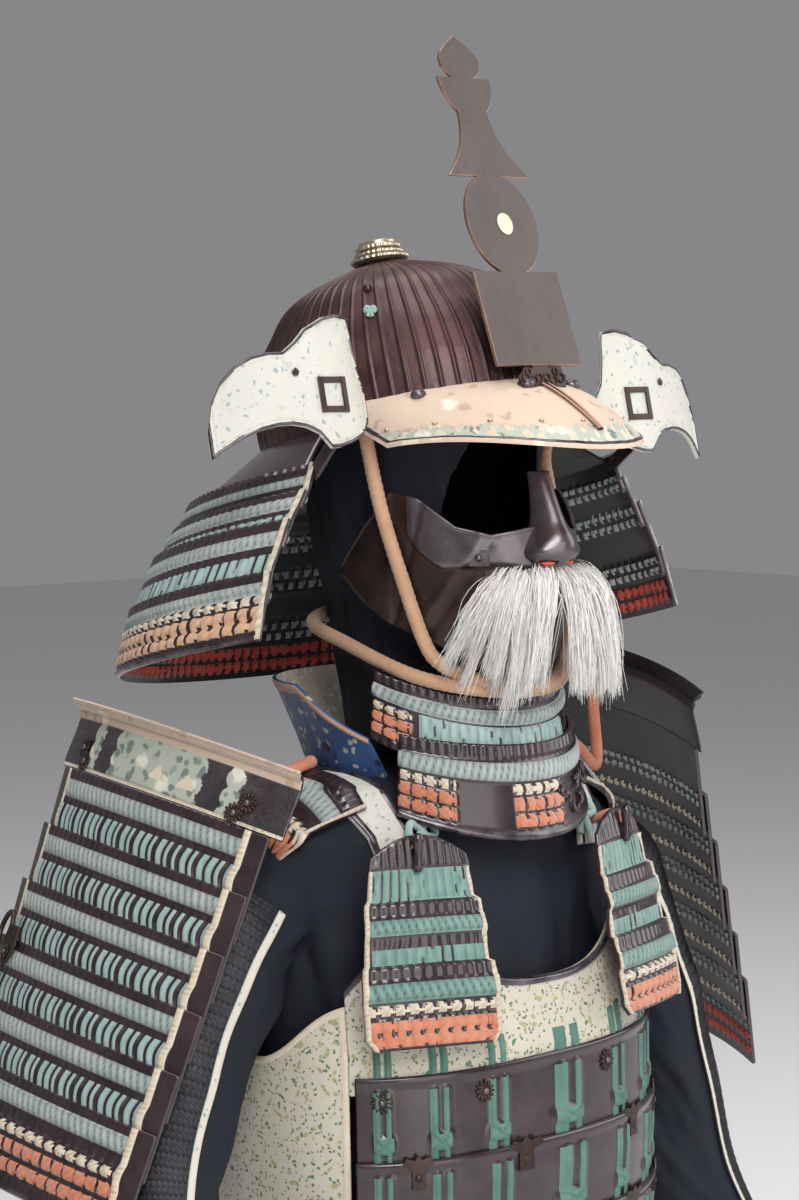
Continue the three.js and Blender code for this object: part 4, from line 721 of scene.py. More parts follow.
def makeVisor():
    peak = gridPiece("visor_peak", 260, 66, lambda u, v, out: inHelmet(visorLocal(u, v, out)),
                     (rad(-visor["reach"]), rad(visor["reach"])), (0.0, 1.0), visorRelief,
                     ("visorLeather", "rim", "printed", "cream"), visor["wall"], None, (360.0, 90.0),
                     {"names": ("red",)})
    belongs(peak, "armour", "visor_leather", "visor")
    place = lambda u, v, out: inHelmet(visorLocal(u, v, out))
    rivets = [(*onPlace(place, rad(d), 0.74, 0.8), 2.3) for d in (-74, -58, -40, -22, -4, 14, 32, 50, 68)]
    studs("visor_rivets", "gilt", rivets, "gilt")
    domes = [(*onPlace(place, rad(-8), 0.16, 0.8), 7.0), (*onPlace(place, rad(22), 0.16, 0.8), 7.0),
             (*onPlace(place, rad(-48), 0.12, 0.8), 6.0)]
    studs("visor_domes", "iron", domes, "dark_iron", 0.7, 20)


makeVisor()


def bow(name, middle, across, down, out, look, slotName, reach=8.0, thick=2.2):
    # a small tied knot with two loops and two short ends
    middle, across, down, out = (np.asarray(v, float) for v in (middle, across, down, out))
    for k, sign in enumerate((-1, 1)):
        shapes = ((0, 0), (0.8, -0.5), (1.2, 0.3), (0.5, 0.5), (0, 0.1)), ((0, 0), (0.3, 0.8), (0.55, 1.7))
        for j, shape in enumerate(shapes):
            line = [middle + across * sign * a * reach + down * b * reach + out * 1.5 for a, b in shape]
            belongs(tubePiece(f"{name}_{k}{j}", smoothLine(line, 22), thick, look, 8, up=tuple(out)), "armour", slotName)


def makeBowlKnot():
    place = lambda u, v, out: inHelmet(bowlPoint(u, v, out))
    top, ahead = onPlace(place, rad(-58), 104, 1.0)
    studs("bowl_stud", "ironDark", [(top, ahead, 3.6)], "dark_iron", 0.8)
    middle, ahead = onPlace(place, rad(-57), 84, 2.0)
    bow("bowl_knot", middle, (0.6, -0.8, 0), (0, 0, -1), ahead, "tealDeep", "orange_cord", 3.2, 1.6)


makeBowlKnot()
print("helmet made")

# Neck guard
guard = {"columns": 10, "rings": [
    {"ring": 0, "half": 111.4, "back": 133.4, "centre": 0, "up": 4, "end": 104},
    {"ring": 1, "half": 167, "back": 172, "centre": -12, "up": -33, "end": 113},
    {"ring": 2, "half": 174, "back": 176, "centre": -18, "up": -51, "end": 113},
    {"ring": 3, "half": 188, "back": 183, "centre": -24, "up": -73, "end": 112.5},
    {"ring": 4, "half": 207, "back": 191, "centre": -32, "up": -109, "end": 112},
    {"ring": 5, "half": 221, "back": 201, "centre": -40, "up": -156, "end": 111.5}]}


def guardSurface(share, ring):
    half, back, centre, up, end = (lookup(guard["rings"], "ring", ring, k) for k in
                                   ("half", "back", "centre", "up", "end"))
    turn = rad(end) * share
    return at(half * np.sin(turn), centre - back * np.cos(turn), up)


guardSkin = skin(guardSurface, lambda p: p * np.array([1, 1, 0]) + np.array([0, 0, 60.0]))
guardPlace = lambda u, v, out: inHelmet(guardSkin(u, v, out))
guardLames = [
    {"top": 1, "low": 2.5, "lift": 4.2, "length": 690, "height": 30, "bands": [
        ("ribs", 0, 6), ("braid", 6, 15), ("ribs", 15, 20), ("lacing", 20, 30)]},
    {"top": 2, "low": 3.5, "lift": 7.9, "length": 720, "height": 42, "bands": [
        ("ribs", 0, 7), ("braid", 7, 17), ("ribs", 17, 22), ("lacing", 22, 42)]},
    {"top": 3, "low": 4.45, "lift": 12.2, "length": 780, "height": 58, "bands": [
        ("ribs", 0, 8), ("braid", 8, 20), ("ribs", 20, 26), ("lacing", 26, 58)]},
    {"top": 4, "low": 5, "lift": 15.2, "length": 840, "height": 50, "bands": [
        ("ribs", 0, 6), ("braid", 6, 15), ("knots", 16, 23), ("crosses", 24, 33.5), ("crosses", 34.5, 44),
        ("rim", 46, 50)]},
]


def makeNeckGuard():
    top = gridPiece("neck_root", 160, 12, guardPlace, (-0.97, 0.97), (0.01, 1.2), None, ("lacquer",), 2.2, None,
                    (600.0, 60.0), {"names": ("lacquerIn",)})
    belongs(top, "armour", "lacquer", "neck_plate")
    for i, row in enumerate(guardLames):
        length, height, lift = row["length"], row["height"], row["lift"]
        columns, rows = gridCounts(length, height, 1.15)
        last = i == 3
        inner = insideRelief([("dots", height - 12), ("dots", height - 5)] if not last else
                             [("dots", 9), ("pale", 20), ("knots", 29), ("knots", 40)], length)
        piece = gridPiece(
            f"neck_row_{i + 1}", columns, rows, lambda u, v, out, lift=lift: guardPlace(u, v, out + lift),
            (-1, 1), (row["top"], row["low"]),
            laceRelief(row["bands"], 8.2, 6.2, 11.4, length, i, orange=6), laceNames, 2.2, None,
            (length, height), {"names": insideNames, "relief": inner, "thin": 1})
        belongs(piece, "armour", "lacquer", f"neck_lame_{i + 1}")


makeNeckGuard()
print("neck guard made")


# Flat shapes with rounded edges, cut from an outline
def slab(name, outline, placePoint, back, front, look, edgeLook=None, bevel=0.5):
    bm = bmesh.new()
    verts = [bm.verts.new((a * 0.001, b * 0.001, back * 0.001)) for a, b in outline]
    face = bm.faces.new(verts)
    grown = bmesh.ops.extrude_face_region(bm, geom=[face])
    top = [g for g in grown["geom"] if isinstance(g, bmesh.types.BMVert)]
    bmesh.ops.translate(bm, vec=(0, 0, (front - back) * 0.001), verts=top)
    bmesh.ops.recalc_face_normals(bm, faces=bm.faces[:])
    for f in bm.faces:
        f.material_index = 1 if edgeLook and len(f.verts) == 4 and abs(f.normal.z) < 0.5 else 0
    rims = [e for e in bm.edges if any(abs(f.normal.z) > 0.5 for f in e.link_faces)
            and any(abs(f.normal.z) < 0.5 for f in e.link_faces)]
    bmesh.ops.bevel(bm, geom=rims, offset=bevel * 0.001, segments=2, profile=0.5, affect="EDGES",
                    material=1 if edgeLook else -1)
    for v in bm.verts:
        x, y, z = v.co * 1000
        v.co = Vector(placePoint(x, y, z)) * 0.001
    bmesh.ops.recalc_face_normals(bm, faces=bm.faces[:])
    mesh = bpy.data.meshes.new(name)
    bm.to_mesh(mesh)
    bm.free()
    mesh.materials.append(looks[look])
    if edgeLook:
        mesh.materials.append(looks[edgeLook])
    mesh.attributes.new("tone", "FLOAT", "POINT")
    piece = bpy.data.objects.new(name, mesh)
    bpy.context.scene.collection.objects.link(piece)
    return piece


def arc(cx, cy, rx, ry, start, stop, count):
    turns = np.radians(np.linspace(start, stop, count + 1))
    return [(cx + rx * math.cos(t), cy + ry * math.sin(t)) for t in turns]


# Crest: five flat plates in one tower, on a socket with a tongue
crest = {"foot": 143.0, "footUp": 22.0, "top": 108.0, "topUp": 276.0, "wall": 3.2}
crestLean = math.atan2(crest["foot"] - crest["top"], crest["topUp"] - crest["footUp"])


def crestPlace(x, up, out):
    forward = crest["foot"] - up * math.sin(crestLean) + out * math.cos(crestLean)
    z = crest["footUp"] + up * math.cos(crestLean) + out * math.sin(crestLean)
    return tuple(inHelmet(at(x, forward, z)))


def makeCrest():
    half = crest["wall"] / 2
    shares = np.linspace(0, 1, 15)
    side = [(15 + 27 * (1 - s) ** 2.2, mix(150, 204, s)) for s in shares]
    shapes = {
        "square": [(-44, 0), (44, 0), (44, 74), (-44, 74)],
        "round": arc(0, 112, 36, 41, 0, 354, 59),
        "roof": side + [(-a, b) for a, b in reversed(side)],
        "moon": arc(0, 230, 27, 33, 180, 360, 28),
        "jewel": arc(0, 244, 21, 17, 200, 340, 14) + [(20.5, 245), (18, 250), (13, 255), (7, 259.5), (0, 264),
                                                      (-7, 259.5), (-13, 255), (-18, 250), (-20.5, 245)],
    }
    made = []
    for i, (word, outline) in enumerate(shapes.items()):
        # each plate is a hair thinner than the last, so that faces never lie in one plane
        piece = slab(f"crest_{word}", outline, crestPlace, -half + 0.06 * i, half - 0.06 * i, "bronze", "copper", 0.6)
        belongs(piece, "crest", "bronze", "crest")
        made.append(piece)
    spot = slab("crest_spot", arc(2, 112, 8, 9, 0, 342, 19), crestPlace, half, half + 0.5, "gilt")
    belongs(spot, "crest", "gilt", "crest")
    back = slab("crest_sleeve", [(-12, 1), (12, 1), (12, 64), (-12, 64)], crestPlace, -3.0, -half, "bronze")
    belongs(back, "crest", "bronze", "crest")


makeCrest()


def makeSocket():
    plate = slab("socket_plate", [(-22, -17), (-13, -19), (-5, -17), (0, -20), (5, -17), (13, -19), (22, -17), (25, -8),
                                  (20, -5), (17, -1), (8, -2), (8, 60), (-8, 60), (-8, -2), (-17, -1), (-20, -5),
                                  (-25, -8)], crestPlace, -1.1, 1.1, "ironDark", None, 0.4)
    belongs(plate, "armour", "dark_iron", "crest_socket")
    rings = []
    for x, up, r in ((-18, -10, 3.4), (-10, -12, 3.4), (10, -12, 3.4), (18, -10, 3.4), (-4, -10, 3), (4, -10, 3),
                     (-14, -5, 2.4), (14, -5, 2.4)):
        turns = np.linspace(0, 2 * np.pi, 15)[:-1]
        loop = [crestPlace(x + r * math.cos(t), up + r * math.sin(t), 1.6) for t in turns]
        rings.append(smoothLine(loop, 28, True))
    for i, line in enumerate(rings):
        belongs(tubePiece(f"socket_ring_{i}", line, 0.75, "ironDark", 6, up=(0.3, 1, 0.2)), "armour", "dark_iron",
                "crest_socket")
    shares = np.linspace(0.2, 0.86, 24)
    line = inHelmet(visorLocal(np.zeros(24), shares, np.full(24, 2.6)))
    for side in (-1, 1):
        rail = line + np.stack([side * np.linspace(3.2, 1.2, 24), np.zeros(24), np.zeros(24)], axis=-1)
        belongs(tubePiece(f"socket_rail_{side + 1}", rail, 1.3, "copper", 8, up=(1, 0, 0)), "armour", "dark_iron",
                "crest_socket")


makeSocket()

# Turnbacks
turnback = {"curve": [(104, 50), (118, 74), (134, 84), (158, 88), (178, 87), (205, 81), (230, 71), (256, 55)],
            "edges": [(119, -1, 14), (123, -6, 22), (128, -11, 32), (131.5, -14, 50), (134, -16, 72),
                      (146, -21.5, 73.5), (158, -24.5, 71), (167, -25, 67), (176, -14, 63), (186, -9, 54),
                      (197, -6.5, 46.5), (208, -6.5, 47), (220, -8.5, 45), (232, -13, 39), (242, -18.5, 29),
                      (249, -22.5, 15), (253.5, -26, -6)], "drop": {"right": 0.0, "left": 11.0}}


def makeTurnback(word, side):
    curve = [{"x": x, "f": f} for x, f in turnback["curve"]]
    edges = turnback["edges"]
    xs = [e[0] for e in edges]
    drop = turnback["drop"][word]

    def surface(x, w):
        return at(side * x, smoothLookup(curve, "x", x, "f"), w - drop)
    surfacePlace = skin(surface, lambda p: np.array([0, -1.0, 0]) + 0 * p)

    def place(x, share, out):
        low = np.interp(x, xs, [e[1] for e in edges])
        high = np.interp(x, xs, [e[2] for e in edges])
        return inHelmet(surfacePlace(x, mix(low, high, share), out))

    def relief(x, y):
        high = np.interp(x + 119, xs, [e[2] - e[1] for e in edges])
        edge = np.minimum(np.minimum(y / 100 * high, (1 - y / 100) * high), np.minimum(x, 134.5 - x))
        rim = edge < 2.6
        arch = np.sqrt(np.clip(1 - ((edge - 1.3) / 1.3) ** 2, 0, 1))
        sew = (np.abs(edge - 4.4) < 0.45) & (frac((x + y) / 3.0) < 0.55)
        return np.where(rim, 0.3 + 1.2 * arch, 0.15 * wobble(x, y, side, 2)), np.where(rim, 1, 0), \
            np.where(sew, 0.8, np.where(rim, 0.0, 0.12))
    face = gridPiece(f"turnback_face_{word}", 120, 70, lambda u, v, out: place(u, v, out + 1.4), (119, 253.5),
                     (0, 1), relief, ("leather", "rim"), 2.8, None, (134.5, 100.0), {"names": ("lacquer",)})
    belongs(face, "armour", "pale_leather", f"turnback_{word}")
    start = guardSkin(np.array([side * 1.0]), np.array([1.25]), np.array([3.0]))[0]
    end = surfacePlace(np.array([156.0]), np.array([-12.0]), np.array([0.0]))[0]
    strip = gridPiece(f"turnback_root_{word}", 12, 6, lambda u, v, out: inHelmet(
        start + (end - start) * np.asarray(u)[..., None] + np.stack(
            [side * (out + 1.2), 0 * u, v], axis=-1)), (0.02, 1), (-6, 6), None, ("lacquer",), 2.4, None, (30, 12),
        {"names": ("lacquer",)})
    belongs(strip, "armour", "lacquer", f"turnback_{word}")
    # a plain square plate where the photo has a family badge, and a drop-shaped eyelet
    middle = lambda a, b, out: tuple(inHelmet(surfacePlace(
        np.array([159.0 - a]), np.array([14.0 + b]), np.array([2.0 + out]))[0]))
    badge = []
    for turns in range(4):
        c, s = math.cos(turns * math.pi / 2), math.sin(turns * math.pi / 2)
        badge.append([(c * a - s * b, s * a + c * b) for a, b in ((-13, 8.5), (13, 8.5), (13, 13), (-13, 13))])
    for i, outline in enumerate(badge):
        bar = slab(f"badge_{word}_{i}", outline, middle, 0.0, 1.2 + 0.02 * i, "ironDark", None, 0.35)
        belongs(bar, "armour", "dark_iron")
    eyelet = slab(f"eyelet_{word}", [(-30, 20.5), (-27.5, 17.5), (-29, 14.5), (-32, 14.5), (-33.5, 17.5)][::-1], middle,
                  0.0, 1.6, "ironDark", None, 0.6)
    belongs(eyelet, "armour", "dark_iron")


for word, side in (("right", -1), ("left", 1)):
    makeTurnback(word, side)
print("crest and turnbacks made")

# Mask
mask = {"edges": [(-88, 148, 154), (-78, 128, 184), (-67, 112, 211), (-56, 104, 206), (-42, 92, 186), (-28, 82, 180),
                  (-14, 76, 184), (0, 74, 188), (14, 76, 184), (28, 82, 180), (42, 92, 186), (56, 104, 206),
                  (67, 112, 211), (78, 128, 184), (88, 148, 154)],
        "rings": [{"z": 60, "half": 74, "front": 108}, {"z": 100, "half": 86, "front": 122},
                  {"z": 140, "half": 90, "front": 129}, {"z": 175, "half": 90, "front": 130},
                  {"z": 215, "half": 89, "front": 126}]}


def maskSurface(turn, z):
    half, front = (smoothLookup(mask["rings"], "z", z, k) for k in ("half", "front"))
    lips = 7 * bump(np.degrees(turn), 20) * bump(z - 138, 16)
    return at((half + lips) * np.sin(turn), (front + lips) * np.cos(turn), z)


maskPlace = skin(maskSurface, fromAxis)


def maskShare(turn, share, out):
    degrees = np.degrees(turn)
    low, high = (np.interp(degrees, [e[0] for e in mask["edges"]], [e[k] for e in mask["edges"]]) for k in (1, 2))
    return maskPlace(turn, mix(low, high, share), out)


def maskRelief(x, y):
    degrees = x - 88
    low, high = (np.interp(degrees, [e[0] for e in mask["edges"]], [e[k] for e in mask["edges"]]) for k in (1, 2))
    z = mix(low, high, y / 100)
    away = np.abs(degrees)
    # a raised cheek with a crisp lower edge, an ear plate with a grooved border with painted shade in it, smile lines
    cheekEdge = 62 - 34 * np.clip((186 - z) / 50, 0, 1) ** 2
    cheek = ease((cheekEdge - away) / 3.0) * ease((z - (148 + 6 * np.sin(np.radians(away * 3)))) / 7)
    ear = ease((away - 66) / 1.5) * 1.1
    groove = bump(away - 61 + (z - 150) * 0.12, 1.3)
    lines = 1.2 * bump(away - 46 + (z - 140) * 0.35, 2.5) - 1.0 * bump(away - 40 + (z - 140) * 0.35, 2.2)
    edge = np.minimum(y, 100 - y) / 100 * (high - low)
    rim = 0.9 * bump(edge - 1.2, 1.1)
    lift = 2.6 * cheek + ear - 0.9 * groove + lines + rim + 0.3 * wobble(x * 3, z * 2, 5, 1)
    part = np.where((cheek > 0.5) | (away < 30), 0, 1)
    return lift, part, np.clip(0.6 * groove, 0, 1)


def makeMask():
    place = lambda u, v, out: maskShare(u, v, out)

    def keep(s, t):
        turn = rad(mix(-88, 88, s))
        point = maskShare(turn, t, np.zeros_like(s))
        return (point[..., 0] / 27) ** 2 + ((point[..., 2] - 138) / 7) ** 2 > 1
    face = gridPiece("mask_face", 210, 84, place, (rad(-88), rad(88)), (0, 1), maskRelief, ("iron", "ironDark"), 2.2,
                     keep, (176.0, 100.0))
    belongs(face, "armour", "dark_iron", "mask")
    noseRows = [{"z": 226, "half": 9, "forward": 130, "root": 122}, {"z": 210, "half": 9.5, "forward": 137, "root": 124},
                {"z": 190, "half": 12, "forward": 147, "root": 126}, {"z": 174, "half": 19, "forward": 156, "root": 127},
                {"z": 164, "half": 21, "forward": 154, "root": 128}, {"z": 157, "half": 15, "forward": 146, "root": 129}]

    def nosePlace(share, z, out):
        half, forward, root = (smoothLookup(noseRows, "z", z, k) for k in ("half", "forward", "root"))
        wing = 4.0 * bump(np.abs(share) - 0.62, 0.22) * bump(z - 168, 8)
        turn = np.pi / 2 * share
        return at((half + wing + out) * np.sin(turn), root - 6 + (forward - root + 6 + out + wing * 0.5)
                  * np.abs(np.cos(turn)) ** 0.8, z)
    nose = gridPiece("mask_nose", 60, 70, nosePlace, (-0.93, 0.93), (157, 226), None, ("iron",), 2.0,
                     lambda s, t: ~((np.abs(np.abs(mix(-0.93, 0.93, s)) - 0.42) < 0.22) & (t < 0.055)), (60.0, 69.0))
    belongs(nose, "armour", "dark_iron", "nose")
    for side in (-1, 1):
        nostril = [onPlace(lambda u, v, o: nosePlace(u, v, o), side * 0.45, 159.0, -3)[0]]
        studs(f"nostril_{side + 1}", "red", [(nostril[0], (0, 0, 1), 6.0)], "dark_iron", 0.3)
        plate = [(-9, -6.5), (7, -6.5), (7, 6.5), (-9, 6.5), (-12, 0)]
        latch = slab(f"latch_{side + 1}", plate, lambda a, b, out, side=side: tuple(maskPlace(
            np.array([side * rad(32) + side * -a / 118]), np.array([163.0 + b]), np.array([1.6 + out]))[0]),
            0.0, 1.3, "iron", None, 0.4)
        belongs(latch, "armour", "dark_iron")
        studs(f"latch_pin_{side + 1}", "iron", [(*onPlace(maskPlace, side * rad(33), 163.0, 2.8), 2.8)], "dark_iron",
              0.8)


makeMask()
print("mask made")

# Moustache: many fine hairs from the strip on the lip
whisker = {"count": 3000, "locks": 44, "thick": 0.46, "z": 149.5,
           "right": [(-10, 144, 70), (-42, 126, 60), (-78, 100, 84)],
           "left": [(12, 150, 70), (48, 142, 56), (82, 123, 66)]}


def makeMoustache():
    chance = np.random.default_rng(7)
    steps = np.linspace(0, 1, 8)[:, None]
    lines = []
    for lock in range(whisker["locks"]):
        side = -1 if lock % 2 else 1
        tips = np.array(whisker["right" if side < 0 else "left"], float)
        share = min(1, (lock // 2 + 0.8 * chance.random()) / (whisker["locks"] / 2 - 1))
        k = min(share * 2, 1.999)
        tip = mix(tips[int(k)], tips[min(int(k) + 1, 2)], k - int(k)) * (1, -1, 1)
        root = maskPlace(np.array([side * rad(1.5 + 23 * share)]), np.array([whisker["z"] + 1.5 * chance.normal()]),
                         np.array([4.0]))[0]
        tip = root + (tip - root) * mix(0.72, 1.1, chance.random()) + chance.normal(size=3) * (5, 5, 3)
        bulge = root + (tip - root) * 0.3 + (side * (5 + share * 9), -15 - 4 * chance.random(), 16 + 4 * chance.normal())
        phase, wave = chance.random() * 6, chance.normal(size=3) * 1.6
        for _ in range(whisker["count"] // whisker["locks"]):
            near = chance.normal(size=3) * (3.6, 2.2, 2.6)
            end = tip + chance.normal(size=3) * (2.6, 2.6, 5.0)
            line = (1 - steps) ** 2 * (root + near) + 2 * steps * (1 - steps) * (bulge + near * 1.5) + steps ** 2 * end
            lines.append(line + wave * np.sin(phase + 5.5 * steps) * steps + 0.5 * chance.normal(size=(8, 3)) * steps)
    bm = bmesh.new()
    bmesh.ops.create_grid(bm, x_segments=3, y_segments=7, size=0.5)
    seed = bpy.data.meshes.new("hair_seed")
    bm.to_mesh(seed)
    bm.free()
    base = np.empty(len(seed.vertices) * 3, "f4")
    seed.vertices.foreach_get("co", base)
    base = base.reshape(-1, 3)
    s = (base[:, 0] - base[:, 0].min()) / np.ptp(base[:, 0])
    t = (base[:, 1] - base[:, 1].min()) / np.ptp(base[:, 1])
    bm = bmesh.new()
    for _ in range(len(lines)):
        bm.from_mesh(seed)
    mesh = bpy.data.meshes.new("hairs")
    bm.to_mesh(mesh)
    bm.free()
    row = np.rint(t * 7).astype(int)
    thick = whisker["thick"] * (1 - 0.75 * t ** 1.5)
    points = []
    for line in lines:
        turn = 2 * np.pi * s + line[0, 0]
        centre = line[row]
        points.append(centre + np.stack([thick * np.cos(turn), thick * np.sin(turn), 0 * t], axis=-1))
    mesh.vertices.foreach_set("co", (np.concatenate(points) * 0.001).astype("f4").ravel())
    mesh.polygons.foreach_set("use_smooth", np.full(len(mesh.polygons), True))
    mesh.attributes.new("tone", "FLOAT", "POINT")
    mesh.materials.append(looks["white"])
    mesh.update()
    piece = bpy.data.objects.new("moustache_hair", mesh)
    bpy.context.scene.collection.objects.link(piece)
    belongs(piece, "armour", "horsehair", "moustache")
    strip = gridPiece("moustache_strip", 60, 8, lambda u, v, out: maskPlace(u, v, out + 2.6), (rad(-26), rad(26)),
                      (whisker["z"] - 2.5, whisker["z"] + 2.5), None, ("white",), 2.2, None, (110.0, 5.0),
                      {"names": ("white",)})
    belongs(strip, "armour", "horsehair", "moustache")


makeMoustache()
print("moustache made")

# Cheek cord and the loop round the neck
chin = {"radius": 5.0, "lift": 6.6, "cheek": [(73, 232), (71, 214), (68, 190), (62, 153), (53, 104), (46, 86), (30, 74),
                                              (12, 68)],
        "loop": [(0, 111, 61.6), (-44, 101, 65), (-76, 66, 75), (-80, 0, 94), (-61, -61, 106), (0, -86, 112),
                 (61, -61, 106), (80, 0, 94), (76, 66, 75), (44, 101, 65)]}


def makeChinCord():
    half = [at(98.0, 38.0, 274.0), at(97.0, 38.0, 256.0)]
    half += [maskPlace(np.array([rad(t)]), np.array([float(z)]), np.array([chin["lift"]]))[0] for t, z in chin["cheek"]]
    half = np.array(half)
    other = half * np.array([-1, 1, 1])
    route = np.vstack([half, other[::-1]])
    line = smoothLine(route, 420)
    cheek = tubePiece("cheek_cord", line, chin["radius"], "tan", 14, 0.55, 0.09)
    belongs(cheek, "armour", "peach_cord", "chin_cord")
    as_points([tuple(p * 0.001) for p in line[::6]] + [tuple(line[-1] * 0.001)])
    ring = smoothLine([at(*p) for p in chin["loop"]], 340, True)
    loop = tubePiece("neck_cord", ring, chin["radius"], "tan", 14, 0.55, 0.09)
    belongs(loop, "armour", "peach_cord", "chin_cord")
    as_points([tuple(p * 0.001) for p in ring[::6]] + [tuple(ring[-1] * 0.001)])


makeChinCord()

# Throat guard
throat = [{"name": "throat_upper", "reach": 66, "lift": 0.0, "low": (0, 28), "high": (56, 78)},
          {"name": "throat_lower", "reach": 54, "lift": 3.8, "low": (-49, -28), "high": (22, 32)}]


def throatSurface(turn, z):
    return at((112 - 0.16 * z) * np.sin(turn), (116 - 0.192 * z) * np.cos(turn), z)


throatPlace = skin(throatSurface, fromAxis)


def throatRelief(length, bands, orangeAt=None, laceAt=None):
    base = laceRelief(bands, 7.6, 6.2, 10.5, length, 3, ends=0)

    def relief(x, y):
        lift, part, tone = base(x, y)
        if orangeAt:
            # knots at the wearer's right end and again past a ribbed gap
            side = (x < orangeAt[0]) | ((x > orangeAt[1]) & (x < orangeAt[2]))
            more, look, dark = laceRelief([("knots", 29, 37), ("crosses", 39, 49), ("crosses", 51, 61)], 7.6, 6.2, 10.5,
                                          length, 3, ends=0)(x, y)
            use = side & (y > 28) & (y < 62)
            lift, part, tone = (np.where(use, a, b) for a, b in ((more, lift), (look, part), (dark, tone)))
            if laceAt:
                more, look, dark = laceRelief([("lacing", 28, 58)], 7.6, 6.0, 10.5, length, 3, ends=0)(x, y)
                use = (x > laceAt[0]) & (x < laceAt[1]) & (y > 28) & (y < 58)
                lift, part, tone = (np.where(use, a, b) for a, b in ((more, lift), (look, part), (dark, tone)))
        return lift, part, tone
    return relief


def makeThroat():
    tables = [([("ribs", 0, 9), ("braid", 12, 25), ("plain", 25, 60), ("ribs", 60, 70)], (34, 120, 121), (40, 190), 270),
              ([("ribs", 0, 10), ("braid", 13, 28), ("plain", 28, 62), ("rim", 64, 70)], (46, 96, 150), None, 240)]
    for row, (bands, orangeAt, laceAt, length) in zip(throat, tables):
        reach, lift = row["reach"], row["lift"]

        def place(turn, share, out, row=row, reach=reach, lift=lift):
            edge = np.abs(turn) / rad(reach)
            low, high = mix(row["low"][0], row["low"][1], edge ** 2), mix(row["high"][0], row["high"][1], edge ** 2)
            return throatPlace(turn, mix(high, low, share), out + lift)
        columns, rows = gridCounts(length, 70)
        face = gridPiece(row["name"] + "_face", columns, rows, place, (-rad(reach), rad(reach)), (0, 1),
                         throatRelief(length, bands, orangeAt, laceAt), laceNames, 2.4, None, (length, 70.0),
                         {"names": ("lacquerIn",)})
        belongs(face, "armour", "lacquer", row["name"])
        if row["name"] == "throat_lower":
            # a cluster of curled black leaves
            chance = np.random.default_rng(3)
            for i in range(13):
                u, share = rad(mix(12, 47, chance.random())), mix(0.48, 0.86, chance.random())
                _, normal = onPlace(place, u, share, 1.0)
                turns = np.linspace(0, 4.6, 26)
                size = mix(3.6, 7.0, chance.random())
                curl = [onPlace(place, u + (size * (0.25 + 0.75 * k / 4.6) * math.cos(k + i)) / 116,
                                share + size * (0.25 + 0.75 * k / 4.6) * math.sin(k + i) / 72, 2.2)[0] for k in turns]
                leaf = tubePiece(f"throat_leaf_{i}", np.array(curl), 1.9, "lacquer", 8,
                                 up=tuple(normal), taper=((0, 0.7, 1), (0.6, 1, 0.2)))
                belongs(leaf, "armour", "lacquer")


makeThroat()
print("throat made")

# Hood under the helmet
hood = [{"z": 10.4, "half": 61, "front": 54, "back": 59}, {"z": 60, "half": 62, "front": 52, "back": 68},
        {"z": 110, "half": 66, "front": 62, "back": 78}, {"z": 170, "half": 76, "front": 84, "back": 96},
        {"z": 275, "half": 86, "front": 98, "back": 108}]


def hoodSurface(turn, z):
    half, front, back = (smoothLookup(hood, "z", z, k) for k in ("half", "front", "back"))
    fold = 2.5 * np.maximum(0, np.cos(9 * turn + z / 60)) * np.clip((z - 20) / 60, 0, 1)
    cos = np.cos(turn)
    return at((half + fold) * np.sin(turn), (np.where(cos > 0, front, back) + fold) * cos, z)


hoodPlace = skin(hoodSurface, fromAxis)


def makeHood():
    columns, rows = ((220, 90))

    def keep(s, t):
        point = hoodSurface(mix(-np.pi, np.pi, s), mix(10.4, 275, t))
        return ~((point[..., 1] < 0) & ((point[..., 0] / 49) ** 2 + ((point[..., 2] - 188) / 85) ** 2 < 1))

    def relief(x, y):
        return 1.1 * wobble(x * 2, y * 0.6, 8, 1), np.zeros(len(x), int), np.zeros(len(x))
    piece = gridPiece("hood_cloth", columns, rows, hoodPlace, (-np.pi, np.pi), (10.4, 275), relief, ("navy",),
                      1.6, keep, (500.0, 265.0), around=True, soften=5)
    belongs(piece, "armour", "navy_cloth", "hood")


makeHood()

# Brocade collar
collar = [{"up": 0, "half": 92, "front": 66, "back": 78}, {"up": 0.5, "half": 106, "front": 70, "back": 90},
          {"up": 1, "half": 122, "front": 74, "back": 104}]


def collarSurface(turn, up):
    half, front, back = (smoothLookup(collar, "up", up, k) for k in ("half", "front", "back"))
    cos = np.cos(turn)
    top = mix(66, 22, np.clip((cos + 0.1) / 0.8, 0, 1))
    return at(half * np.sin(turn), np.where(cos > 0, front, back) * cos, mix(-4, top, up))


collarPlace = skin(collarSurface, lambda p: p * np.array([1, 1, 0]) + np.array([0, 0, -30.0]))
looks["brocade"] = spotFinish("brocade", (0.035, 0.085, 0.22), (0.42, 0.40, 0.30), 110, 0.34,
                              (0.012, 0.02, 0.06), 0.5)
looks["silk"] = spotFinish("silk", (0.62, 0.56, 0.47), (0.80, 0.76, 0.68), 130, 0.34, (0.48, 0.42, 0.34), 0.4)


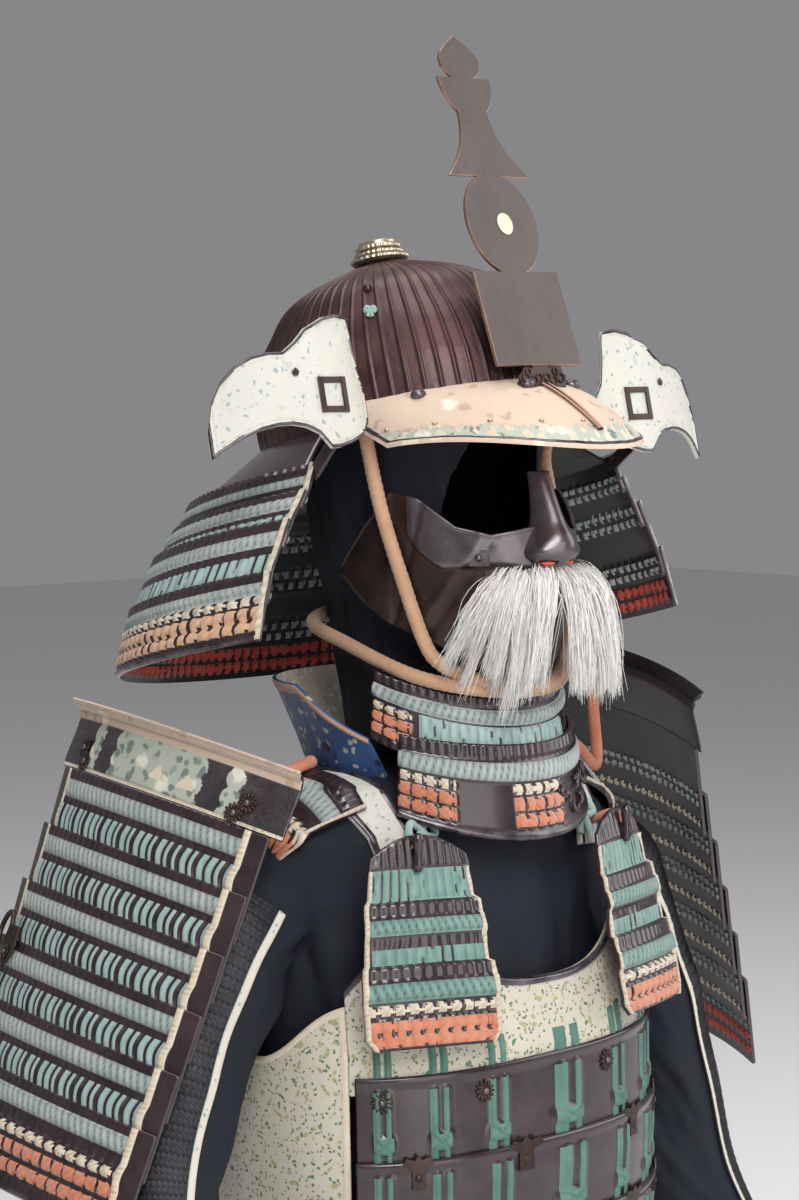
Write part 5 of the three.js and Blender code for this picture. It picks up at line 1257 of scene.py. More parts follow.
def makeCollar():
    def relief(x, y):
        # the edge cord has painted shade in its twist
        edge = y > 57
        arch = np.sqrt(np.clip(1 - ((y - 60) / 3) ** 2, 0, 1))
        quilt = 0.7 * np.abs(np.sin(x * 0.16)) * np.abs(np.sin(y * 0.12))
        twist = np.sin(np.pi * frac((x + y) / 4.0))
        return np.where(edge, 0.8 * arch, quilt * 0.4), np.where(edge, 1, 0), np.where(edge, 0.5 * (1 - twist), 0.1)
    columns, rows = gridCounts(470, 63)

    def place(turn, up, out):
        return collarPlace(turn, up, out + 3)
    face = gridPiece("collar_cloth", columns, rows, place, (rad(54), rad(306)), (0.0, 1.0), relief,
                     ("brocade", "tan", "silk"), 2.8, None, (470.0, 63.0), {"names": ("silk",)})
    belongs(face, "armour", "brocade", "collar")


# Torso under the armour, which the robe lies on
torso = [{"z": 10, "half": 62, "front": 55, "back": 60}, {"z": 0, "half": 85, "front": 62, "back": 72},
         {"z": -15, "half": 140, "front": 72, "back": 85}, {"z": -45, "half": 172, "front": 88, "back": 98},
         {"z": -90, "half": 178, "front": 98, "back": 104}, {"z": -150, "half": 164, "front": 106, "back": 107},
         {"z": -250, "half": 156, "front": 110, "back": 104}, {"z": -330, "half": 148, "front": 106, "back": 98},
         {"z": -410, "half": 146, "front": 104, "back": 98}, {"z": -520, "half": 168, "front": 116, "back": 118},
         {"z": -650, "half": 178, "front": 122, "back": 128}]
robeFolds = [(-62, 0.05, 6, 7, -60), (-40, 0.04, 5, 6, -60), (-20, -0.03, 5, 5, -40), (2, 0.02, 6, 6, -40),
             (22, -0.02, 5, 5, -50), (45, 0.03, 6, 6, -60), (66, -0.04, 5, 6, -90), (112, 0.03, 7, 6, -90),
             (140, -0.02, 6, 5, -60), (168, 0.02, 6, 6, -60), (198, -0.03, 6, 5, -60), (228, 0.02, 7, 6, -60),
             (252, 0.02, 6, 5, -90)]


def turnAway(a, b):
    return (a - b + 180) % 360 - 180


def robeSurface(turn, z):
    half, front, back = (lookup(torso, "z", z, k) for k in ("half", "front", "back"))
    rise = np.zeros_like(np.asarray(turn, float) + z)
    for middle, drift, width, height, top in robeFolds:
        centre = middle + drift * (top - z)
        one = height * bump(turnAway(np.degrees(turn), centre), width)
        rise = rise + one * np.clip((top - z) / 60, 0, 1)
    rise = rise * np.clip((-z - 30) / 60, 0, 1)
    cos = np.cos(turn)
    return at((half + rise) * np.sin(turn), (np.where(cos > 0, front, back) + rise) * cos, z)


robePlace = skin(robeSurface, lambda p: p * np.array([1, 1, 0]) + np.array([0, 0, 10.0]))
armRows = [{"along": 0, "x": 128, "f": -6, "z": -68, "r": 44}, {"along": 1, "x": 168, "f": -6, "z": -90, "r": 50},
           {"along": 2, "x": 205, "f": -5, "z": -135, "r": 50}, {"along": 3, "x": 240, "f": -2, "z": -205, "r": 44},
           {"along": 4, "x": 266, "f": 2, "z": -290, "r": 45}, {"along": 5, "x": 272, "f": 20, "z": -370, "r": 45},
           {"along": 6, "x": 274, "f": 66, "z": -440, "r": 43}, {"along": 7, "x": 266, "f": 120, "z": -500, "r": 42}]


def armCentre(along, side):
    x, f, z = (smoothLookup(armRows, "along", along, k) for k in ("x", "f", "z"))
    return at(side * x, f, z)


def armPlace(side, turn, along, out):
    # turn 0 is outward, 90 degrees is forward
    centre = armCentre(along, side)
    ahead = armCentre(np.minimum(along + 0.05, 7), side) - armCentre(np.maximum(along - 0.05, 0), side)
    ahead /= np.linalg.norm(ahead, axis=-1, keepdims=True)
    front = np.array([0, -1.0, 0]) - ahead * (-ahead[..., 1:2])
    front /= np.linalg.norm(front, axis=-1, keepdims=True)
    outward = np.cross(front, ahead)
    outward *= np.where(outward[..., :1] * side < 0, -1, 1)
    reach = lookup(armRows, "along", along, "r") + sleeveFold(turn, along) + out
    return centre + outward * (reach * np.cos(turn))[..., None] + front * (reach * np.sin(turn))[..., None]


def sleeveFold(turn, along):
    rise = 0.0
    for where, middle, wide, height in ((1.6, 40, 0.35, 6), (2.3, 120, 0.3, 5), (3.1, 60, 0.3, 4), (5.1, 250, 0.25, 4)):
        rise = rise + height * bump(along - where, wide) * bump(turnAway(np.degrees(turn), middle), 60)
    return rise


def makeRobe():
    columns, rows = ((270, 170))

    def crease(x, y):
        # fine creases between the big folds
        z, side = y - 650, np.abs(np.sin(mix(-np.pi, np.pi, x / 1000)))
        free = np.clip((-70 - z) / 50, 0, 1) * mix(1, 0.2, ease((side - 0.6) / 0.3) * ease((-120 - z) / 40))
        drape = np.sin(x * 0.10 + 0.012 * z + 2.4 * wobble(x, y, 2, 0.45)) + 0.7 * np.sin(x * 0.047 - z * 0.02)
        return 2.6 * free * drape + 0.4 * wobble(x, y, 6, 2.5), np.zeros(len(x), int), np.zeros(len(x))

    def keep(s, t):
        turn, z = mix(-np.pi, np.pi, s), mix(-650, 10, t)
        point = robeSurface(turn, z)
        inside = np.zeros(len(s), bool)
        for side in (-1, 1):
            for along in np.linspace(0, 1.2, 13):
                centre = armCentre(np.array([along]), side)[0]
                inside |= np.linalg.norm(point - centre, axis=-1) < 44 + 4 * along - 3
        return ~(inside & (np.abs(point[..., 0]) > 100))
    piece = gridPiece("robe_cloth", columns, rows, lambda u, v, out: robePlace(u, v, out + 0.3), (-np.pi, np.pi),
                      (-650, 10), crease, ("navy",), 1.4, keep, (1000.0, 660.0), around=True)
    belongs(piece, "armour", "navy_cloth", "robe_body")
    for side, word in ((-1, "right"), (1, "left")):
        def sleeve(turn, along, out, side=side):
            return armPlace(side, turn, along, out + 1.2)

        def creases(x, y):
            turn, down = x * 1.2, y / 91.0
            free = ease((turn - 92) / 25) * ease((232 - turn) / 30) * ease(down / 1.2)
            drape = np.sin(rad(turn * 3.2) + 2.3 * down + 1.2 * wobble(x * 2, y, 3, 0.8)) * (1 + 0.5 * np.sin(y * 0.021))
            return 0.3 + 3.0 * free * drape, np.zeros(len(x), int), np.zeros(len(x))
        arm = gridPiece(f"robe_sleeve_cloth_{word}", 110, 200, sleeve,
                        (0, 2 * np.pi), (0.02, 7), creases, ("navy",), 1.8, None, (300.0, 640.0), around=True)
        belongs(arm, "armour", "navy_cloth", f"robe_sleeve_{word}")


makeRobe()
makeCollar()
print("cloth made")

# Cuirass
cuirass = [{"z": -60, "half": 158, "front": 106, "back": 112}, {"z": -105, "half": 168, "front": 116, "back": 122},
           {"z": -150, "half": 174, "front": 126, "back": 128}, {"z": -200, "half": 176, "front": 138, "back": 130},
           {"z": -290, "half": 175, "front": 141, "back": 128}, {"z": -410, "half": 168, "front": 134, "back": 122},
           {"z": -700, "half": 232, "front": 190, "back": 184}]
dip = 8.25


def cuirassSurface(turn, z):
    half, front, back = (lookup(cuirass, "z", z, k) for k in ("half", "front", "back"))
    cos = np.cos(turn)
    return at(half * power(np.sin(turn), 0.8), np.where(cos > 0, front, back) * power(cos, 0.8), z)


cuirassPlace = skin(cuirassSurface, fromAxis)


def dipPlace(turn, z, out):
    # the plates below the chest lie a little lower at the wearer's right
    return cuirassPlace(turn, z + dip * np.sin(turn), out)


boards = [{"name": "board_1", "high": -206, "low": -286, "lift": 4.3}, {"name": "board_2", "high": -268, "low": -348,
           "lift": 8.1}, {"name": "board_3", "high": -331, "low": -412, "lift": 11.9}]
ironStraps = [-38, -8, 24, 52, 150, 180, 210]


def makeChest():
    def chestPlace(turn, share, out):
        side = np.abs(np.degrees(turn)) / 58
        top = np.where(side < 0.55, mix(-151, -104, (side / 0.55) ** 2.2), mix(-104, -150, np.clip(
            (side - 0.55) / 0.45, 0, 1) ** 1.5))
        return cuirassPlace(turn, mix(top, -226, share), out + 2.6)

    def relief(x, y):
        # the silk cords have painted shade towards their edges
        edge = y < 7
        arch = np.sqrt(np.clip(1 - ((y - 3.5) / 3.5) ** 2, 0, 1))
        pairs = np.abs(frac((x / 3.448 - 2) * 2.74 / 46.0) - 0.5) * 46
        silk = (y > 52) & (np.abs(pairs - 4.5) < 2.9)
        p = np.sqrt(np.clip(1 - ((pairs - 4.5) / 2.9) ** 2, 0, 1))
        lift = np.where(edge, 3.4 * arch, np.where(silk, 2.0 * p, 0.15 * wobble(x, y, 3, 2)))
        return lift, np.where(edge, 1, np.where(silk, 2, 0)), np.where(silk, 0.6 * (1 - p), 0.1)
    columns, rows = gridCounts(400, 100)
    chest = gridPiece("chest_face", columns, rows, chestPlace, (-rad(58), rad(58)), (0, 1), relief,
                      ("dotted", "rim", "green"), 2.6, None, (400.0, 100.0), {"names": ("lacquerIn",)})
    belongs(chest, "armour", "pale_leather", "chest_leather")

    def backPlace(turn, share, out):
        side = np.abs(np.degrees(turn - np.pi)) / 58
        top = np.where(side < 0.6, mix(-72, -84, side / 0.6), mix(-84, -150, np.clip((side - 0.6) / 0.4, 0, 1)))
        return cuirassPlace(turn, mix(top, -226, share), out + 2.6)
    back = gridPiece("back_face", columns, gridCounts(400, 150)[1], backPlace, (rad(122), rad(238)), (0, 1),
                     relief, ("lacquer", "rim", "green"), 2.6, None, (400.0, 150.0),
                     {"names": ("lacquerIn",)})
    belongs(back, "armour", "lacquer", "back_board")
    for word, turn in (("right", 270), ("left", 90)):
        def sidePlace(angle, share, out, turn=turn):
            away = (np.degrees(angle) - turn) / 31.8
            top = -158 - 48 * bump(away, 0.62)
            return cuirassPlace(angle, mix(top, -420, share), out + 2.1)

        def sideRelief(x, y):
            edge = np.minimum(np.minimum(x, 180 - x), y)
            piping = edge < 5
            arch = np.sqrt(np.clip(1 - ((edge - 2.5) / 2.5) ** 2, 0, 1))
            return np.where(piping, 1.2 * arch, 0.2 * wobble(x, y, 2, 2)), np.where(piping, 1, 0), np.full(len(x), 0.1)
        columns, rows = gridCounts(180, 240, 1.5)
        piece = gridPiece(f"side_face_{word}", columns, rows, sidePlace, (rad(turn - 31.8), rad(turn + 31.8)), (0, 1),
                          sideRelief, ("dotted", "cream"), 2.6, None, (180.0, 240.0), {"names": ("lacquerIn",)})
        belongs(piece, "armour", "pale_leather", f"side_guard_{word}")


makeChest()


def boardRelief(length, height):
    # smooth lacquer with a rolled edge, pairs of cords and crossed knots, with painted shade at the cord edges and in
    # the knots' grooves
    def relief(x, y):
        roll = y < 7
        arch = np.sqrt(np.clip(1 - ((y - 3.2) / 3.8) ** 2, 0, 1))
        pairs = np.abs(frac(x / 46.0) - 0.5) * 46
        silk = (y > 10) & (np.abs(pairs - 4.6) < 2.7)
        p = np.sqrt(np.clip(1 - ((pairs - 4.6) / 2.7) ** 2, 0, 1))
        fx, fy = (frac(x / 46.0) - 0.5) * 46, y - 50
        knot = (np.abs(fx) < 8.5) & (np.abs(fy) < 6.5)
        cross = np.clip(1 - (np.abs(fx) / 8.5) ** 4 - (np.abs(fy) / 6.5) ** 4, 0, 1) ** 0.4
        groove = bump(np.abs(fx) - np.abs(fy) * 1.25, 1.2)
        lift = np.where(roll, 1.4 * arch, np.where(knot, 1.0 + 2.4 * cross * (1 - 0.3 * groove), np.where(
            silk, 2.0 * p, 0.0)))
        part = np.where(knot & (cross > 0), 3, np.where(silk, 2, 0))
        tone = np.where(knot, 0.5 * groove, np.where(silk, 0.6 * (1 - p), 0.0))
        return lift, np.where(roll, 0, part), tone
    return relief


def makeBoards():
    for row in boards:
        height = row["high"] - row["low"]
        length = 800
        columns, rows = gridCounts(length, height, 1.1)
        place = lambda turn, z, out, lift=row["lift"]: dipPlace(turn, z, out + lift)
        piece = gridPiece(f"board_plates_{row['name'][-1]}", columns, rows, place, (rad(-56), rad(236)),
                          (row["high"], row["low"]), boardRelief(length, height), ("lacquer", "lacquer", "green",
                          "green"), 2.4, None, (length, height), {"names": ("lacquerIn",), "thin": 2})
        belongs(piece, "armour", "lacquer", row["name"])
    # iron straps with forked ends and rosettes
    heads, flowers = [], []
    for i, degrees in enumerate(ironStraps):
        for j, row in enumerate(boards[1:]):
            middle = row["high"] - 6

            def strapPlace(a, b, out, degrees=degrees, middle=middle, row=row):
                z = middle + b
                lift = row["lift"] + (0.3 if b < 4 else 0.0)
                return tuple(dipPlace(np.array([rad(degrees) + a / 150]), np.array([z]), np.array([lift + out]))[0])
            outline = [(-5, -14), (5, -14), (5, 0), (12, 4), (9, 9), (3, 7), (0, 11), (-3, 7), (-9, 9), (-12, 4), (-5, 0)]
            strap = slab(f"iron_strap_{i}_{j}", outline, strapPlace, 0.2, 1.7, "ironDark", None, 0.4)
            belongs(strap, "armour", "dark_iron")
            heads.append((*onPlace(lambda u, v, out: dipPlace(u, v, out + row["lift"]), rad(degrees), middle - 6, 1.6),
                          3.0))
    for degrees, z, size in ((-48, -224, 9), (-18, -224, 9), (14, -224, 9), (-34, -366, 11), (12, -368, 11),
                             (160, -224, 9), (200, -224, 9), (180, -366, 11)):
        lift = 4.3 if z > -260 else 11.9
        point, normal = onPlace(lambda u, v, out: dipPlace(u, v, out + lift), rad(degrees), z, 0.6)
        flowers.append((point, normal, size))
    studs("strap_rivets", "ironDark", heads, "dark_iron")
    for i, (point, normal, size) in enumerate(flowers):
        flower(f"cuirass_flower_{i}", point, normal, size)
    # the black peg hanging low on the front
    top, _ = onPlace(lambda u, v, out: dipPlace(u, v, out + 12), rad(-30), -338, 6.0)
    line = np.linspace(top + (0, 0, 16), top - (0, 0, 16), 12)
    belongs(tubePiece("peg_0", line, 4.2, "lacquer", 14, up=(1, 0.3, 0), taper=(
        (0, 0.12, 0.5, 0.88, 1), (0.5, 1, 0.72, 1, 0.5))), "armour", "lacquer")


# Small metal flowers: a round plate, petals and a raised middle
def flower(name, point, normal, size, look="ironDark", heart="iron"):
    bm = bmesh.new()
    petals = 12
    for i in range(petals):
        angle = 2 * math.pi * i / petals
        made = bmesh.ops.create_uvsphere(bm, u_segments=8, v_segments=6, radius=1.0)
        bmesh.ops.scale(bm, vec=(size * 0.30, size * 0.15, 0.9), verts=made["verts"])
        bmesh.ops.translate(bm, vec=(size * 0.66, 0, 0.5), verts=made["verts"])
        bmesh.ops.rotate(bm, cent=(0, 0, 0), matrix=Matrix.Rotation(angle, 3, "Z"), verts=made["verts"])
    made = bmesh.ops.create_cone(bm, cap_ends=True, segments=24, radius1=size * 0.72, radius2=size * 0.62, depth=1.2)
    for f in bm.faces:
        f.smooth = True
    middle = bmesh.ops.create_uvsphere(bm, u_segments=12, v_segments=8, radius=size * 0.3)
    bmesh.ops.scale(bm, vec=(1, 1, 0.7), verts=middle["verts"])
    bmesh.ops.translate(bm, vec=(0, 0, 1.2), verts=middle["verts"])
    for v in middle["verts"]:
        for f in v.link_faces:
            f.material_index = 1
            f.smooth = True
    turn = Vector(normal).to_track_quat("Z", "Y").to_matrix().to_4x4()
    bmesh.ops.transform(bm, matrix=turn, verts=bm.verts[:])
    bmesh.ops.scale(bm, vec=(0.001, 0.001, 0.001), verts=bm.verts[:])
    bmesh.ops.translate(bm, vec=Vector(point) * 0.001, verts=bm.verts[:])
    mesh = bpy.data.meshes.new(name)
    bm.to_mesh(mesh)
    bm.free()
    mesh.materials.append(looks[look])
    mesh.materials.append(looks[heart])
    piece = bpy.data.objects.new(name, mesh)
    bpy.context.scene.collection.objects.link(piece)
    return belongs(piece, "armour", "dark_iron")


makeBoards()
print("cuirass made")

# Skirt panels
skirt = {"panels": 7, "gap": 3.0, "flapTop": -404, "top": -428, "low": -668, "out": 3.2, "rows": 3}


def makeSkirt():
    spanDegrees = 360 / skirt["panels"]
    for i in range(skirt["panels"]):
        middle = spanDegrees * (i + 0.5) - 90
        half = (spanDegrees - skirt["gap"]) / 2
        base = 8.9 + 1.1 * max(0.0, -math.sin(rad(middle)))
        lameTall = (skirt["top"] - skirt["low"]) / skirt["rows"]

        def place(turn, z, out, base=base):
            row = np.clip(np.floor((skirt["top"] - z) / lameTall + 1e-6), 0, skirt["rows"] - 1)
            row = np.where(z > skirt["top"], 0, row)
            lift = np.clip(row - 1 + np.clip((skirt["top"] - z - row * lameTall) / 3.0, 0, 1), 0, 9)
            return dipPlace(turn, z, base + skirt["out"] * lift + out)
        length = 190
        tall = skirt["flapTop"] - skirt["low"]
        bands = [("lacing", 0, 24)]
        for k in range(skirt["rows"]):
            start = 24 + k * lameTall
            last = k == skirt["rows"] - 1
            bands += [("ribs", start, start + 8), ("braid", start + 9, start + 21)]
            bands += [("ribs", start + 22, start + 32), ("lacing", start + 33, start + lameTall)] if not last else [
                ("knots", start + 24, start + 32), ("crosses", start + 34, start + 44), ("crosses", start + 46,
                                                                                       start + 56),
                ("ribs", start + 58, start + 72), ("rim", start + 75, start + lameTall)]
        columns, rows = gridCounts(length, tall, 1.35)
        piece = gridPiece(f"skirt_rows_{i + 1}", columns, rows, place, (rad(middle - half), rad(middle + half)),
                          (skirt["flapTop"], skirt["low"]), laceRelief(bands, 8.0, 6.4, 10.8, length, i),
                          laceNames, 2.2, None, (length, tall), {"names": ("lacquerIn",), "thin": 3})
        belongs(piece, "armour", "lacquer", f"skirt_panel_{i + 1}")


makeSkirt()
print("skirt made")


# Over the shoulder: the torso's own curve in a plane across it
def inTorso(x, f, z):
    half, front, back = (lookup(torso, "z", z, k) for k in ("half", "front", "back"))
    return (z <= 10) & ((x / half) ** 2 + (f / np.where(f > 0, front, back)) ** 2 < 1)


def overShoulder(x, beta):
    x, beta = np.broadcast_arrays(np.asarray(x, float), np.asarray(beta, float))
    low, high = np.zeros_like(x), np.full_like(x, 200.0)
    for _ in range(24):
        middle = (low + high) / 2
        inside = inTorso(x, middle * np.sin(beta), -90 + middle * np.cos(beta))
        low, high = np.where(inside, middle, low), np.where(inside, high, middle)
    return at(x, low * np.sin(beta), -90 + low * np.cos(beta))


shoulderPlace = skin(overShoulder, lambda p: p * np.array([0, 1, 1]) + np.array([0, 0, 90.0]), 0.02)
strap = {"inner": 98, "outer": 118, "back": -72, "front": 74, "wall": 5.0, "plateFrom": 112, "plateTo": 170,
         "plateBack": -42, "plateFront": 40, "plateLift": 7.5}


def makeStraps():
    for side, word in ((-1, "right"), (1, "left")):
        def strapPlace(share, beta, out, side=side):
            front = np.clip(beta / rad(74), 0, 1)
            x = mix(strap["outer"], strap["inner"], front) + np.asarray(share) * mix(19, 14, front)
            return shoulderPlace(side * x, beta, out + 6)

        def relief(x, y):
            edge = np.minimum(x, 38 - x)
            arch = np.sqrt(np.clip(1 - ((edge - 2.5) / 2.5) ** 2, 0, 1))
            return np.where(edge < 5, 0.6 * arch, 0.2 * wobble(x, y, 2, 2)), np.where(edge < 5, 1, 0), \
                np.full(len(x), 0.1)
        columns, rows = gridCounts(38, 330)
        band = gridPiece(f"strap_leather_{word}", columns, rows, strapPlace, (-1, 1), (rad(-72), rad(74)), relief,
                         ("leather", "rim"), 5.0, None, (38.0, 330.0), {"names": ("lacquerIn",)})
        belongs(band, "armour", "pale_leather", f"shoulder_strap_{word}")

        def platePlace(beta, share, out, side=side):
            x = mix(strap["plateTo"], strap["plateFrom"], share)
            return shoulderPlace(side * x, beta, out + strap["plateLift"] + 2.4)
        bands = [("crosses", 0, 9), ("knots", 10, 17), ("plain", 17, 26), ("braid", 27, 41), ("plain", 41, 45),
                 ("ribs", 46, 58)]
        columns, rows = gridCounts(150, 58)
        plate = gridPiece(f"shoulder_rows_{word}", columns, rows, platePlace, (rad(-42), rad(40)), (0, 1),
                          laceRelief(bands, 8, 6.2, 10.5, 150, 2), laceNames, 2.4, None, (150.0, 58.0),
                          {"names": ("lacquerIn",)})
        belongs(plate, "armour", "lacquer", f"shoulder_strap_{word}")


# Shoulder guards: a leathered board and six laced plates
wing = {"half": 132.0, "lameHalf": 122.0, "radius": 330.0, "first": 10.0, "pitch": 45.0, "tall": 80.0, "lean": 0.105,
        "seats": {"right": (-1, 238, -44, 1, 22, 7), "left": (1, 240, -36, 30, 24, 7)}}


def wingPlace(word, p, q, m):
    side, x, f, z, tilt, turn = wing["seats"][word]
    t, r = rad(tilt), rad(turn)
    down = at(side * math.sin(t), -math.sin(r) * math.cos(t), -math.cos(r) * math.cos(t))
    along = at(0, math.cos(r), -math.sin(r))
    out = at(side * math.cos(t), math.sin(r) * math.sin(t), math.cos(r) * math.sin(t))
    radius = wing["radius"]
    p, q, m = np.broadcast_arrays(np.asarray(p, float), np.asarray(q, float), np.asarray(m, float))
    bend = p / radius
    return at(side * x, f, z) + along * ((radius + m) * np.sin(bend))[..., None] + out * (
        (radius + m) * np.cos(bend) - radius)[..., None] + down * q[..., None]


def makeWing(word):
    section = [(-9, -2.2), (9.65, -2.2), (9.65, 0.6), (-29, 0.6), (-34, 3), (-39, 12), (-41.5, 11.2), (-37, 1),
               (-30, -2.2), (-9, -2.2)]
    closed = np.array(section, float)
    steps = np.concatenate([[0], np.cumsum(np.linalg.norm(np.diff(closed, axis=0), axis=1))])
    around = float(steps[-1])

    def boardPlace(p, where, out):
        q, m = np.interp(where, steps, closed[:, 0]), np.interp(where, steps, closed[:, 1])
        aheadQ = np.interp(where + 0.4, steps, closed[:, 0]) - np.interp(where - 0.4, steps, closed[:, 0])
        aheadM = np.interp(where + 0.4, steps, closed[:, 1]) - np.interp(where - 0.4, steps, closed[:, 1])
        length = np.maximum(np.hypot(aheadQ, aheadM), 1e-6)
        return wingPlace(word, p, q - aheadM / length * out, m + aheadQ / length * out)

    def boardRelief(x, y):
        # front face: cream hills on grey print, dark fittings at the ends, pale piping at the edges
        q = np.interp(y, steps, closed[:, 0])
        face = (y > steps[2]) & (y < steps[3])
        flange = (y >= steps[3]) & (y < steps[6])
        away = np.abs(frac(x / 31.0) - 0.5) * 31
        cream = face & (q > -14 + 1.25 * away) & (q < -2) & (frac(x / 93.0) > 0.33)
        scallop = 4 * np.abs(np.sin(q * 0.22))
        fitting = face & ((np.minimum(x, 264 - x) < 48 - scallop) | (np.abs(np.abs(x - 132) - 62) < 13 - scallop))
        piping = (np.abs(q - 8.2) < 2.0) & (y < steps[3]) & (y > steps[2])
        piping |= flange & ((np.abs(y - steps[5] + 1.2) < 1.6) | (np.abs(y - steps[4] - 1) < 1.2))
        engraved = bump(frac(wobble(x * 2.2, q * 2.2, 5, 3) * 2.2) - 0.5, 0.16)
        lift = np.where(piping, 1.2, np.where(fitting, 0.9 - 0.4 * engraved, np.where(cream, 0.25, 0.0)))
        part = np.where(piping, 3, np.where(fitting, 2, np.where(cream, 1, np.where(flange, 5, np.where(face, 0, 4)))))
        return lift, part, np.where(fitting, 0.7 * engraved, 0.12)
    piece = gridPiece(f"wing_board_{word}", 240, 110, boardPlace,
                      (-wing["half"], wing["half"]), (0.0, around), boardRelief,
                      ("printed", "cream", "iron", "cream", "lacquerIn", "visorLeather"), 0.0, None, (264.0, around))
    weld(piece)
    belongs(piece, "armour", "lacquer", f"guard_board_{word}")
    for p, q in ((-96, -8), (-88, 2), (96, -8), (88, 2)):
        base = wingPlace(word, p, q, 1.2)
        tip = wingPlace(word, p, q, 2.2)
        flower(f"wing_flower_{word}_{p}", base, tip - base, 8.5)
    for k in range(6):
        last = k == 5
        top = wing["first"] + wing["pitch"] * k
        length, height = 2 * wing["lameHalf"], wing["tall"]
        if last:
            bands = [("ribs", 0, 8), ("braid", 8.5, 21), ("ribs", 21.5, 31), ("knots", 32, 41), ("crosses", 43, 54),
                     ("crosses", 56, 67), ("ribs", 68, 76), ("rim", 76, 80)]
        else:
            bands = [("ribs", 0, 6.5), ("braid", 7, 21), ("ribs", 21.5, 26.5), ("strands", 26.5, 80)]

        def lamePlace(p, q, out, top=top):
            inward = np.clip((wing["lameHalf"] - np.abs(p)) / 25, 0, 1)
            bowed = 3.2 * np.sin(np.pi * np.clip((q - 27) / 20, 0, 1)) * inward
            return wingPlace(word, p - bowed, top + q, out - q * wing["lean"])
        ribCount = round(length / 8)
        base = laceRelief(bands, length / ribCount, 6.3, 11.0, length, k, ends=0)

        def relief(x, y, base=base, last=last):
            lift, part, tone = base(x, y)
            # a smooth dark plate at each end, with a pale cord beside it that has painted shade in its twist
            away = np.minimum(x, length - x)
            end = away < 15
            cordEdge = (away >= 15) & (away < 20)
            p = np.sqrt(np.clip(1 - ((away - 17.5) / 2.5) ** 2, 0, 1))
            twist = np.sin(np.pi * frac(y / 3.4))
            lift = np.where(end, 0.6, np.where(cordEdge, 1.0 + 2.0 * p, lift))
            part = np.where(end, 0, np.where(cordEdge, 3, part))
            tone = np.where(end, 0.0, np.where(cordEdge, 0.6 * (1 - twist * p), tone))
            return lift, part, tone
        inner = insideRelief([("dots", 44), ("dots", 52), ("pale", 70)] if not last else
                             [("dots", 44), ("pale", 36), ("knots", 54), ("knots", 67)], length, 8.4)
        count = gridCounts(length, height)[1]
        lame = gridPiece(f"wing_rows_{word}_{k + 1}", ribCount * 5, count, lamePlace,
                         (wing["lameHalf"], -wing["lameHalf"]), (0, height), relief, laceNames, 2.2, None,
                         (length, height), {"names": insideNames, "relief": inner, "thin": 1})
        belongs(lame, "armour", "lacquer", f"guard_lame_{word}_{k + 1}")


def makeGuardRing():
    # an iron tab with a ring at the rear edge of the right guard
    tab = [(-7, -15), (7, -15), (9, 0), (5, 13), (0, 17), (-5, 13), (-9, 0)]
    place = lambda a, b, out: tuple(wingPlace("right", a - 86, b + 150, out + 4.5))
    belongs(slab("guard_tab", tab, place, 0.0, 2.4, "ironDark", None, 0.6), "armour", "dark_iron")
    flower("guard_tab_flower", place(0, 6, 2.6), np.subtract(place(0, 6, 3), place(0, 6, 2)), 6.0)
    turns = np.linspace(0, 2 * np.pi, 17)[:-1]
    loop = [place(-22 + 9 * math.cos(k), -10 + 13 * math.sin(k), -1.0) for k in turns]
    ring = tubePiece("guard_ring", smoothLine(loop, 40, True), 1.9, "ironDark", 10, up=(1, 0, 0.2))
    belongs(ring, "armour", "dark_iron")


def weld(piece):
    bm = bmesh.new()
    bm.from_mesh(piece.data)
    bmesh.ops.remove_doubles(bm, verts=bm.verts[:], dist=1e-6)
    holes = [e for e in bm.edges if e.is_boundary]
    bmesh.ops.holes_fill(bm, edges=holes, sides=0)
    bm.to_mesh(piece.data)
    bm.free()


# Hanging plates at the chest
hang = {"right": (-1, 110), "left": (1, 99), "f": 108, "z": -36, "tilt": 15, "turn": 20, "radius": 260, "rows": [
    (0, 38, 0), (24, 40, 0), (26, 40, -1.4), (47, 43, -3), (48, 46, 1), (59, 47, 1), (60, 47, 2.4), (72, 48, 2.4),
    (73, 48, 0), (94, 50, -2), (95, 52, 2), (105, 53, 2), (106, 53, 3.2), (119, 54, 3.2), (120, 54, 1),
    (146, 54, -1), (154, 48, -1.8)]}


def hangPlace(word, share, q, m):
    side, x = hang[word]
    t, r = rad(hang["tilt"]), rad(hang["turn"])
    along = at(side * math.cos(r), -math.sin(r), 0)
    out = at(side * math.sin(r) * math.cos(t), math.cos(r) * math.cos(t), math.sin(t))
    down = at(side * math.sin(r) * math.sin(t), math.cos(r) * math.sin(t), -math.cos(t))
    half = np.interp(q, [row[0] for row in hang["rows"]], [row[1] for row in hang["rows"]])
    lift = np.interp(q, [row[0] for row in hang["rows"]], [row[2] for row in hang["rows"]])
    bow = np.asarray(share) * half / hang["radius"]
    fall = q + 16 * np.asarray(share) ** 2 * np.clip(1 - q / 24, 0, 1)
    reach = hang["radius"] + lift + m
    return at(side * x, hang["f"], hang["z"]) + along * (reach * np.sin(bow))[..., None] + out * (
        reach * np.cos(bow) - hang["radius"])[..., None] + down * fall[..., None]


# the chest plates are laced in a greener silk
plateNames = tuple("sea" if look in ("teal", "tealDeep") else look for look in laceNames)


